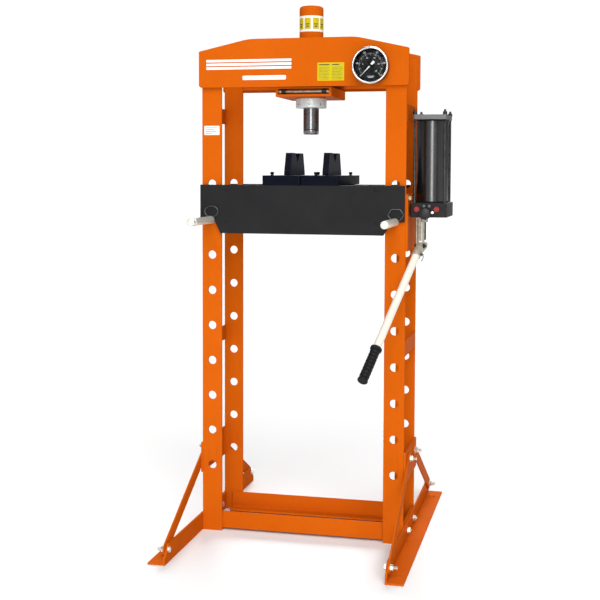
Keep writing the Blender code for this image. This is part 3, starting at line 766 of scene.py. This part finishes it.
# --- cylinder ---
def build_cylinder():
    refined("carriage", "paint", 0.0012)
    refined("slide_plate", "paint", 0.001)
    low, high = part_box("carriage")
    bm = bmesh.new()
    for sign in (-1, 1):
        y = (low.y + high.y) / 2 + sign * ((high.y - low.y) / 2 - 0.030)
        near, far = sorted((y, y - sign * 0.004))
        block(bm, (low.x + 0.0083, near, low.z + 0.0083), (high.x - 0.0083, far, high.z - 0.0053))
    piece("carriage_webs", bm, "paint", body="carriage")
    refined("cylinder_barrel", "paint", 0.0)
    low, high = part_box("cylinder_cover")
    x, y = CYLINDER.x, CYLINDER.y
    r = (high.x - low.x) / 2
    inner = r - 0.0026
    depth = high.z - low.z
    cap = [(0, depth - 0.0113), (inner, depth - 0.0113), (inner, 0.0), (r - 0.0008, 0.0), (r, 0.0008)]
    cap += [(r, depth - 0.010)]
    for k in range(1, 9):
        t = pi / 2 * k / 8
        cap.append((r - 0.010 + 0.010 * cos(t), depth - 0.010 + 0.010 * sin(t)))
    cap += [(0, depth)]
    turned("cylinder_cover_spun", cap, (x, y, low.z), UP, 72, "paint", "cylinder_cover", smooth=40)
    build_nut()
    build_clamp_rod()
    low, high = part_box("ram")
    r = (high.x - low.x) / 2
    turned(
        "ram_ground", [(0, 0), (r - 0.0006, 0), (r, 0.0006), (r, high.z - low.z), (0, high.z - low.z)],
        (x, y, low.z), UP, 72, "ram", "ram",
    )
    low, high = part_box("ram_pad")
    tall = high.z - low.z
    pad = [
        (0, 0.0), (r - 0.003, 0.0), (r - 0.0008, 0.0012), (r, 0.0025), (r, tall - 0.0012),
        (r - 0.001, tall), (0, tall),
    ]
    turned("ram_pad_turned", pad, (x, y, low.z), UP, 72, "ram", "ram_pad")


def build_nut():
    low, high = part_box("ring_nut")
    r, tall = (high.x - low.x) / 2, high.z - low.z
    bore = 0.0265
    profile = [
        (r - 0.0022, 0), (r - 0.0004, 0.0009), (r, 0.0025), (r, tall * 0.70), (r - 0.0012, tall * 0.705),
    ]
    profile += [(r - 0.0012, tall * 0.735), (r, tall * 0.74), (r, tall - 0.0015), (r - 0.0015, tall)]
    profile += [(bore, tall), (bore, 0.0018), (bore + 0.002, 0)]
    obj = turned("ring_nut_turned", profile, (CYLINDER.x, CYLINDER.y, low.z), UP, 96, "nut", "ring_nut")
    cutter = bmesh.new()
    for degrees in (-84, -129, 6, 51, 96, 141, 186, -39):
        t = radians(degrees)
        way = Vector((cos(t), sin(t), 0))
        start = Vector((CYLINDER.x, CYLINDER.y, low.z + tall * 0.36)) + way * (r - 0.007)
        lathe(cutter, [(0, 0), (0.0035, 0), (0.0035, 0.012), (0, 0.012)], start, way, 20)
    cut_by(obj, cutter)


def build_clamp_rod():
    low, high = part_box("clamp_rod")
    y, z = (low.y + high.y) / 2, (low.z + high.z) / 2
    length = high.x - low.x
    r = (high.z - low.z) / 2
    profile = [(0, 0), (r - 0.0005, 0), (r, 0.0006), (r, 0.009), (0.0042, 0.0098)]
    for k in range(24):
        profile += [(0.0042, 0.012 + k * 0.0016), (0.0038, 0.0128 + k * 0.0016)]
    profile += [
        (0.0042, 0.052), (0.0042, length - 0.0098), (r, length - 0.009), (r, length - 0.0006),
        (r - 0.0005, length), (0, length),
    ]
    turned(
        "clamp_rod_turned", profile, (low.x, y, z), (1, 0, 0), 28, "link", "clamp_rod",
        slot="machined_steel",
    )
    bm = bmesh.new()
    for x, way in ((low.x + 0.010, 1), (high.x - 0.010, -1)):
        collar = [
            (0.0046, 0), (0.0088, 0), (0.0092, 0.0006), (0.0092, 0.0134), (0.0086, 0.014), (0.0046, 0.014),
        ]
        lathe(bm, collar, (x, y - 0.002, z), (way, 0, 0), 6)
    piece("clamp_nuts", bm, "plastic", body="carriage", smooth=25)


# --- gauge ---
def flat_text(text, size, place):
    curve = bpy.data.curves.new("figure", "FONT")
    curve.body = text
    curve.size = size
    curve.align_x = "CENTER"
    curve.align_y = "CENTER"
    curve.resolution_u = 3
    holder = bpy.data.objects.new("figure", curve)
    scene.collection.objects.link(holder)
    bpy.context.view_layer.update()
    mesh = bpy.data.meshes.new_from_object(holder.evaluated_get(bpy.context.evaluated_depsgraph_get()))
    bpy.data.objects.remove(holder)
    bm = bmesh.new()
    bm.from_mesh(mesh)
    bmesh.ops.remove_doubles(bm, verts=bm.verts, dist=1e-7)
    grown = bmesh.ops.extrude_face_region(bm, geom=bm.faces[:], use_keep_orig=True)
    verts = [g for g in grown["geom"] if isinstance(g, bmesh.types.BMVert)]
    bmesh.ops.translate(bm, verts=verts, vec=(0, 0, 0.0002))
    bm.transform(place)
    return bm


def build_gauge():
    x, z = GAUGE.x, GAUGE.z
    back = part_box("gauge_case")[1].y
    low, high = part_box("gauge_bezel")
    r = (high.x - low.x) / 2
    depth = back - low.y
    rim = depth - 0.010
    inner = r - 0.006
    case = [
        (0, 0), (0.038, 0), (0.040, 0.0015), (r - 0.006, 0.005), (r - 0.003, 0.009),
        (r - 0.003, rim - 0.003),
    ]
    case += [(r - 0.0015, rim - 0.002), (r - 0.0015, rim), (inner, rim), (inner, 0.020), (0, 0.020)]
    turned("gauge_case_pressed", case, (x, back, z), FRONTWARD, 72, "case", "gauge_case", smooth=40)
    bezel = [(r - 0.0012, rim + 0.0003), (r, rim + 0.0015)]
    for k in range(7):
        t = pi / 2 * k / 6
        bezel.append((r - 0.004 + 0.004 * cos(t), depth - 0.004 + 0.004 * sin(t)))
    bezel += [
        (inner + 0.0010, depth - 0.0006), (inner - 0.0008, depth - 0.0022), (inner - 0.0008, rim + 0.0003),
    ]
    turned("gauge_bezel_spun", bezel, (x, back, z), FRONTWARD, 96, "chrome", "gauge_bezel", smooth=50)
    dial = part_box("gauge_dial")[0].y
    tall = back - dial
    turned(
        "gauge_dial_plate",
        [
            (0, 0.0203), (inner - 0.0005, 0.0203), (inner - 0.0005, tall - 0.0003), (inner - 0.001, tall),
            (0, tall),
        ],
        (x, back, z), FRONTWARD, 72, "dial", "gauge_dial",
    )
    lens_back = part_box("gauge_lens")[1].y
    lens = [
        (0, 0), (inner - 0.0015, 0), (inner - 0.0012, 0.0006), (inner - 0.0016, 0.0022),
        (inner - 0.012, 0.0026), (0, 0.0027),
    ]
    turned("gauge_lens_clear", lens, (x, lens_back, z), FRONTWARD, 72, "glass", "gauge_lens", smooth=50)
    build_scale(x, dial, z)
    build_needle(x, z)


def build_scale(x, dial, z):
    """Two ring scales and plain figures on the dial."""
    bm = bmesh.new()
    sweep, start = 270, 225

    def mark(angle, inner, outer, width):
        t = radians(angle)
        way, side = Vector((cos(t), sin(t))), Vector((-sin(t), cos(t)))
        corners = [
            way * inner - side * width, way * outer - side * width, way * outer + side * width,
            way * inner + side * width,
        ]
        outline = [(x + c.x, z + c.y) for c in corners]
        slab(bm, outline, [], dial - 0.0003, dial + 0.00005, "Y")

    for k in range(51):
        major = k % 5 == 0
        mark(start - sweep * k / 50, 0.0345 if major else 0.0362, 0.0390, 0.00045 if major else 0.0002)
    for k in range(41):
        mark(start - sweep * k / 40, 0.0330 if k % 4 else 0.0318, 0.0338, 0.00018)
    facing = Matrix.Rotation(pi / 2, 4, "X")
    for k in range(6):
        t = radians(start - sweep * k / 5)
        spot = Vector((x + 0.0445 * cos(t), dial, z + 0.0445 * sin(t)))
        absorb(bm, flat_text(str(k * 10), 0.0082, Matrix.Translation(spot) @ facing))
        spot = Vector((x + 0.0255 * cos(t), dial, z + 0.0255 * sin(t)))
        absorb(bm, flat_text(str(k * 5), 0.0066, Matrix.Translation(spot) @ facing))
    spot = Vector((x, dial, z - 0.034))
    slab(
        bm, rectangle(spot.x - 0.011, spot.z - 0.0006, spot.x + 0.011, spot.z + 0.0006), [], dial - 0.0003,
        dial + 0.00005, "Y",
    )
    slab(
        bm, rectangle(spot.x - 0.008, spot.z - 0.0042, spot.x + 0.008, spot.z - 0.0030), [], dial - 0.0003,
        dial + 0.00005, "Y",
    )
    piece("gauge_scale_print", bm, "ink")


def build_needle(x, z):
    low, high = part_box("gauge_needle")
    front, back = low.y, high.y
    tip = Vector((low.x - x, low.z - z))
    way = tip.normalized()
    side = Vector((-way.y, way.x))
    long = tip.length - 0.0008
    tail = -way * 0.0155
    corners = [
        way * long, way * (long * 0.35) - side * 0.0013, side * -0.0026, tail - side * 0.0042, tail * 1.12,
    ]
    corners += [tail + side * 0.0042, side * 0.0026, way * (long * 0.35) + side * 0.0013]
    outline = [(x + c.x, z + c.y) for c in corners]
    plate("gauge_needle_blade", outline, [], front, back, "Y", "ink", "gauge_needle")
    hub = [(0, 0), (0.0042, 0), (0.0042, 0.0016), (0.0034, 0.0024), (0, 0.0026)]
    turned("gauge_hub", hub, (x, front + 0.0004, z), FRONTWARD, 32, "dial", body="gauge_needle")


# --- pump ---
def build_pump():
    low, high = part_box("pump_base")
    outline = rounded(rectangle(low.x, low.y, high.x, high.y), (0.004,) * 4, 4)
    obj = plate("pump_block_cast", outline, [], low.z, high.z, "Z", "block", "pump_base", bevel=0.0016)
    cutter = bmesh.new()
    lathe(
        cutter, [(0, -0.01), (0.0063, -0.01), (0.0063, 0.036), (0, 0.036)], (PLUNGER.x, PLUNGER.y, low.z),
        sides=24,
    )
    cut_by(obj, cutter)
    build_ports(low.y)
    low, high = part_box("tank_tube")
    r = (high.x - low.x) / 2
    tall = high.z - low.z
    wall = 0.003
    tube = [
        (r - 0.0004, 0), (r, 0.0005), (r, tall - 0.0005), (r - 0.0004, tall), (r - wall, tall),
        (r - wall, 0),
    ]
    bm = bmesh.new()
    lathe(bm, tube, (PUMP.x, PUMP.y, low.z), sides=96)
    rolled = [
        (r - 0.002, 0.0), (r + 0.0012, 0.0), (r + 0.0018, 0.002), (r + 0.0012, 0.004), (r - 0.002, 0.004),
    ]
    piece("tank_tube_drawn", bm, "tank", "tank_tube")
    bm = bmesh.new()
    lathe(bm, rolled, (PUMP.x, PUMP.y, low.z), sides=96)
    lathe(bm, rolled, (PUMP.x, PUMP.y, high.z - 0.004), sides=96)
    piece("tank_seal_rings", bm, "rubber")
    build_lid()
    build_tie_rods()
    build_knob()
    build_linkage()


def build_lid():
    low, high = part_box("tank_lid")
    spots = [centre(f"tie_rod_{d}_{s}") for d in DEPTHS for s in SIDES]
    outline = rounded(rectangle(low.x, low.y, high.x, high.y), (0.007,) * 4, 6)
    holes = [ring(p.x, p.y, 0.0046, 20) for p in spots]
    plate("tank_lid_cast", outline, holes, low.z, high.z, "Z", "lid", "tank_lid", bevel=0.0014)


def build_tie_rods():
    for depth in DEPTHS:
        for side in SIDES:
            node = f"tie_rod_{depth}_{side}"
            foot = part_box(node)[0].z
            spot = centre(node)
            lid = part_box("tank_lid")[1].z
            r, tall = 0.004, lid - foot
            profile = [(0, 0), (r, 0), (r, tall - 0.030)]
            for k in range(16):
                profile += [(r, tall - 0.029 + k * 0.0013), (r - 0.0004, tall - 0.0284 + k * 0.0013)]
            profile += [
                (r - 0.0002, tall), (r - 0.0002, tall + 0.0145), (r - 0.001, tall + 0.0165),
                (0, tall + 0.0165),
            ]
            bm = bmesh.new()
            lathe(bm, profile, (spot.x, spot.y, foot), sides=20)
            hexagon(bm, (spot.x, spot.y, lid + 0.0002), UP, 0.0125, 0.008, 0.0078, turn=0.4)
            piece(f"{node}_threaded", bm, "rods", node, smooth=28)


def build_ports(front):
    """The plugs, the valve's boss and the small screws on the pump block's front."""
    plugs, steel = bmesh.new(), bmesh.new()
    for x in (MIDDLE.x + 0.373, MIDDLE.x + 0.436):
        z = 1.0900
        shape = [
            (0, 0), (0.0090, 0), (0.0090, 0.0032), (0.0085, 0.0044), (0.0078, 0.005), (0.0062, 0.005),
            (0.0056, 0.0018), (0, 0.0018),
        ]
        lathe(plugs, shape, (x, front, z), FRONTWARD, 36)
        slab(
            plugs, rectangle(x - 0.0058, z - 0.0011, x + 0.0058, z + 0.0011), [], front - 0.0042,
            front - 0.0016, "Y",
        )
    screw = [
        (0, 0), (0.0046, 0), (0.0046, 0.003), (0.0040, 0.0038), (0.0022, 0.0038), (0.0022, 0.0016),
        (0, 0.0016),
    ]
    lathe(steel, screw, (KNOB.x + 0.0225, front, 1.080), FRONTWARD, 24)
    dull = bmesh.new()
    for x in (-0.005, 0.012):
        lathe(dull, screw, (KNOB.x + x, front, 1.1005), FRONTWARD, 24)
    piece("port_grub_screws", dull, "lid", slot="zinc_plate")
    collar = [(0.0135, 0), (0.0165, 0), (0.0165, 0.0052), (0.0155, 0.0062), (0.0135, 0.0062)]
    lathe(steel, collar, (KNOB.x, front, KNOB.z), FRONTWARD, 36)
    piece("port_plugs", plugs, "red")
    piece("port_screws", steel, "zinc")


def build_knob():
    """A fluted release knob on its spindle."""
    low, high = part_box("release_knob")
    r, depth = (high.x - low.x) / 2, high.y - low.y
    place = Matrix.Translation((KNOB.x, high.y, KNOB.z)) @ turn_to(FRONTWARD)
    loops = []
    rows = (
        (0, 0.6, 0), (0.008, 0.6, 0), (0.0095, 0.9, 0.4), (0.012, 1.0, 1), (depth - 0.005, 1.0, 1),
        (depth - 0.0015, 0.93, 0.8), (depth, 0.82, 0),
    )
    for h, share, flute in rows:
        turns = [2 * pi * k / 72 for k in range(72)]
        loop = []
        for t in turns:
            radius = r * share * (1 - 0.07 * flute * (0.5 - 0.5 * cos(9 * t)))
            loop.append((radius * cos(t), radius * sin(t)))
        loops.append((h, loop))
    bm = bmesh.new()
    prism(bm, loops, place)
    piece("release_knob_fluted", bm, "plastic", "release_knob", smooth=40)
    turned(
        "release_knob_cap", [(0, 0), (0.0065, 0), (0.0062, 0.0004), (0, 0.0005)], (KNOB.x, low.y, KNOB.z),
        FRONTWARD, 24, "plastic", body="release_knob",
    )


def build_linkage():
    refined("lever_bracket", "link", 0.0008)
    refined("plunger_gland", "link", 0.0006)
    low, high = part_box("plunger")
    r, tall = (high.x - low.x) / 2, high.z - low.z
    rod = [
        (0, 0), (r - 0.003, 0.0006), (r - 0.0008, 0.002), (r, 0.004), (r, tall - 0.001), (r - 0.001, tall),
        (0, tall),
    ]
    turned("plunger_ground", rod, (PLUNGER.x, PLUNGER.y, low.z), UP, 36, "rods", "plunger")
    refined("pump_lever", "link", 0.0009, slot="zinc_plate")
    across = Matrix.Rotation(-LEVER_YAW, 3, "Z") @ Vector((1, 0, 0))
    bm = bmesh.new()
    block(
        bm, (-0.0055, -0.003, 0.016), (0.0025, 0.003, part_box("lever_bracket")[1].z - LEVER_AXIS.z - 0.002),
    )
    bm.transform(Matrix.Translation(LEVER_AXIS) @ Matrix.Rotation(-LEVER_YAW, 4, "Z"))
    piece("bracket_tongue", bm, "link", bevel=0.0008)
    bm = bmesh.new()
    half = 0.0111
    for sign in (-1, 1):
        hexagon(bm, LEVER_AXIS + across * sign * half, across * sign, 0.012, 0.005, 0.0085, turn=0.2)
    bolt_end(bm, LEVER_AXIS + across * (half + 0.0065), across, 0.0032, 0.0035)
    piece("pivot_bolt", bm, "rods", slot="zinc_plate", smooth=28)
    down = Vector((0, -cos(HANDLE_DIP), -sin(HANDLE_DIP)))
    down.rotate(Matrix.Rotation(-LEVER_YAW, 3, "Z"))
    bm = bmesh.new()
    top = Vector(UP) - down * down.z
    top.normalize()
    hexagon(bm, LEVER_AXIS + down * 0.040 + across * 0.0147, across, 0.010, 0.0045, 0.0, turn=0.1)
    bolt_end(bm, LEVER_AXIS + down * 0.040 + across * 0.0190, across, 0.0028, 0.005)
    hook = []
    for k in range(15):
        t = radians(-30 + 210 * k / 14)
        point = LEVER_AXIS + down * (0.042 + 0.0085 * sin(t)) + across * (0.0170 + 0.004 * cos(t))
        hook.append(point - top * (0.008 + 0.0011 * k))
    tube_along(bm, hook, 0.0013, 8)
    piece("socket_clip", bm, "wire", body="pump_lever", smooth=40)
    build_handle(down)


def build_handle(down):
    length, r = HANDLE_LENGTH, 0.0122
    start, end = TUBE_START, length - 0.006
    tube = [
        (r - 0.0004, start), (r, start + 0.0005), (r, end - 0.0005), (r - 0.0004, end), (r - 0.002, end),
        (r - 0.002, start),
    ]
    turned("handle_tube_enamelled", tube, LEVER_AXIS, down, 48, "white", "handle_tube")
    grip = GRIP_R
    begin = length - GRIP_LENGTH
    inner = r + 0.0003
    profile = [(0, length - 0.0055), (inner, length - 0.0055), (inner, begin)]
    profile += [
        (grip + 0.0015, begin), (grip + 0.003, begin + 0.0012), (grip + 0.003, begin + 0.007),
        (grip + 0.0018, begin + 0.0085),
    ]
    ribs = 8
    step = (GRIP_LENGTH - 0.024) / ribs
    for k in range(ribs):
        low = begin + 0.010 + k * step
        profile += [
            (grip - 0.0016, low), (grip - 0.0012, low + step * 0.14), (grip - 0.0001, low + step * 0.26),
            (grip, low + step * 0.5),
        ]
        profile += [(grip - 0.0001, low + step * 0.74), (grip - 0.0012, low + step * 0.88)]
    profile += [(grip, length - 0.008), (grip + 0.0008, length - 0.0065), (grip + 0.0008, length - 0.002)]
    profile += [(grip - 0.0008, length - 0.0004), (grip - 0.0030, length), (0, length)]
    turned("handle_grip_moulded", profile, LEVER_AXIS, down, 48, "rubber", "handle_grip", smooth=40)


# --- labels ---
def sticker(name, panels, low, high):
    """Thin printed panels: each is (outline, material, layers up)."""
    names = sorted({m for _, m, _ in panels})
    away = -1 if high <= low else 1
    bm = bmesh.new()
    for outline, material, layer in panels:
        before = len(bm.faces)
        step = 0.00012 * layer * away
        slab(bm, outline, [], low, high + step, "Y")
        bm.faces.ensure_lookup_table()
        for face in bm.faces[before:]:
            face.material_index = names.index(material)
    piece(name, bm, names)


def build_labels():
    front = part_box("head_plate_front")[0].y
    skin = front - 0.0003

    def box_at(left, bottom, right, top, corner=0.0):
        outline = [(MIDDLE.x + a, b) for a, b in rectangle(left, bottom, right, top)]
        return rounded(outline, (corner,) * 4, 4) if corner else outline

    stripes = [(box_at(-0.322, z, -0.034, z + 0.008, 0.002), "ink", 0) for z in (1.566, 1.554, 1.542)]
    stripes.append((box_at(-0.198, 1.507, -0.052, 1.521, 0.004), "ink", 0))
    sticker("head_stripes", stripes, front + 0.0001, skin)
    lines = [(box_at(0.052, 1.501, 0.140, 1.559, 0.002), "yellow", 0)]
    for column in (0.057, 0.100):
        width = 0.035 if column < 0.1 else 0.024
        lines.append((box_at(column, 1.5505, column + width, 1.5535), "dark_ink", 1))
        for k in range(9):
            wide = (0.035, 0.033, 0.035, 0.030, 0.035, 0.034, 0.028, 0.035, 0.032)[k]
            z = 1.5445 - k * 0.0047
            lines.append((box_at(column, z - 0.0014, column + wide, z), "grey_ink", 1))
    sticker("instruction_label", lines, front + 0.0001, skin)
    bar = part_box("upright_front_left")[0].y
    panels = [(box_at(-0.333, 1.329, -0.281, 1.359, 0.0015), "ink", 0)]
    for k in range(4):
        z = 1.3535 - k * 0.0062
        panels.append(
            (box_at(-0.329, z - 0.0016, -0.329 + (0.040, 0.030, 0.036, 0.022)[k], z), "dark_ink", 1)
        )
    sticker("rating_label", panels, bar + 0.0001, bar - 0.0003)
    build_band()


def build_band():
    """A white band with plain yellow panels, round the front of the cylinder's cover."""
    low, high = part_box("cylinder_cover")
    r = (high.x - low.x) / 2
    names = ["ink", "yellow", "dark_ink"]
    bm = bmesh.new()

    def patch(start, end, bottom, top, index, lift):
        before = len(bm.faces)
        steps = max(3, int((end - start) / 4))
        rows = []
        for k in range(steps + 1):
            t = radians(start + (end - start) * k / steps)
            way = Vector((cos(t), sin(t), 0))
            base = Vector((CYLINDER.x, CYLINDER.y, 0))
            rows.append(
                [
                    bm.verts.new(base + way * rr + Vector((0, 0, z)))
                    for rr, z in (
                        (r - 0.0003, bottom), (r + lift, bottom), (r + lift, top), (r - 0.0003, top),
                    )
                ],
            )
        for one, two in zip(rows, rows[1:], strict=False):
            for k in range(4):
                n = (k + 1) % 4
                bm.faces.new((one[k], one[n], two[n], two[k]))
        bm.faces.new(rows[0])
        bm.faces.new(rows[-1])
        bm.faces.ensure_lookup_table()
        for face in bm.faces[before:]:
            face.material_index = index

    patch(-176, 22, 1.672, 1.724, 0, 0.0002)
    for start in (-150, -112, -71, -33):
        patch(start, start + 31, 1.680, 1.717, 1, 0.00032)
        patch(start + 10, start + 21, 1.687, 1.691, 2, 0.00044)
        patch(start + 6, start + 25, 1.695, 1.698, 2, 0.00044)
    piece("cover_band", bm, names, body="carriage", smooth=40)


# --- stage ---
def build_stage():
    mesh = bpy.data.meshes.new("floor")
    reach = 40
    mesh.from_pydata(
        [(-reach, -reach, 0), (reach, -reach, 0), (reach, reach, 0), (-reach, reach, 0)], [],
        [(0, 1, 2, 3)],
    )
    floor = bpy.data.objects.new("studio_floor", mesh)
    scene.collection.objects.link(floor)
    material, tree, shader = nodes_of("studio_floor")
    fill(tree, shader, Base_Color=tint(tree, noise(tree, 0.7, 2), (0.765,) * 3, (0.775,) * 3))
    fill(tree, shader, Roughness=0.9, Specular_IOR_Level=0.1)
    mesh.materials.append(material)
    world = bpy.data.worlds.new("studio")
    scene.world = world
    world.use_nodes = True
    tree = world.node_tree
    sky = tree.nodes["Background"]
    dot = tree.nodes.new("ShaderNodeVectorMath")
    dot.operation = "DOT_PRODUCT"
    dot.inputs[1].default_value = (0.12, -0.94, 0.30)
    tree.links.new(add(tree, "TexCoord", "Generated"), dot.inputs[0])
    fill(tree, sky, Color=(1, 1, 1, 1), Strength=spread(tree, dot.outputs["Value"], 0.15, 0.62, 0.15, 0.95))
    bright = add(tree, "Background", "Background", Color=(1, 1, 1, 1), Strength=1.05)
    mix = tree.nodes.new("ShaderNodeMixShader")
    sources = (add(tree, "LightPath", "Is Camera Ray"), sky.outputs[0], bright)
    for source, socket in zip(sources, mix.inputs, strict=True):
        tree.links.new(source, socket)
    fill(tree, tree.nodes["World Output"], Surface=mix.outputs[0])


def add_light(name, kind, place, aim, energy, **settings):
    data = bpy.data.lights.new(name, kind)
    data.energy = energy
    for key, value in settings.items():
        setattr(data, key, value)
    light = bpy.data.objects.new(name, data)
    light.location = place
    light.rotation_euler = (Vector(aim) - Vector(place)).to_track_quat("-Z", "Y").to_euler()
    scene.collection.objects.link(light)


def build_lights():
    add_light("sun", "SUN", (1.2, -3.0, 2.9), (0, 0, 0.2), 2.5, angle=radians(50))
    add_light("back_sun", "SUN", (-0.3, 3.0, 2.1), (0, 0, 0), 3.0, angle=radians(28))
    add_light(
        "strip", "AREA", (0.62, -4.1, 1.5), (0.2, 0, 1.1), 56, shape="RECTANGLE", size=0.8, size_y=2.2,
    )
    add_light("side", "AREA", (3.4, -0.6, 1.9), (0, 0, 1.0), 2, shape="RECTANGLE", size=1.0, size_y=2.2)


def build_camera():
    data = bpy.data.cameras.new("camera")
    data.sensor_width = 36
    data.lens = 1157.9 / 600 * 36
    data.shift_y = -0.10
    data.clip_start, data.clip_end = 0.05, 200
    camera = bpy.data.objects.new("camera", data)
    yaw, pitch, roll = radians(13.28), radians(-3.44), radians(0.19)
    turn = Matrix.Rotation(yaw, 4, "Z") @ Matrix.Rotation(pi / 2 + pitch, 4, "X") @ Matrix.Rotation(
        roll, 4, "Z",
    )
    camera.matrix_world = Matrix.Translation(at(0.861, -3.805, 1.213)) @ turn
    scene.collection.objects.link(camera)
    scene.camera = camera


build_stage()
build_lights()
build_camera()
build_frame()
build_fasteners()
build_bed()
build_pins()
build_cylinder()
build_gauge()
build_pump()
build_labels()

scene.view_settings.view_transform = "Standard"
scene.view_settings.look = "None"
bpy.context.view_layer.update()
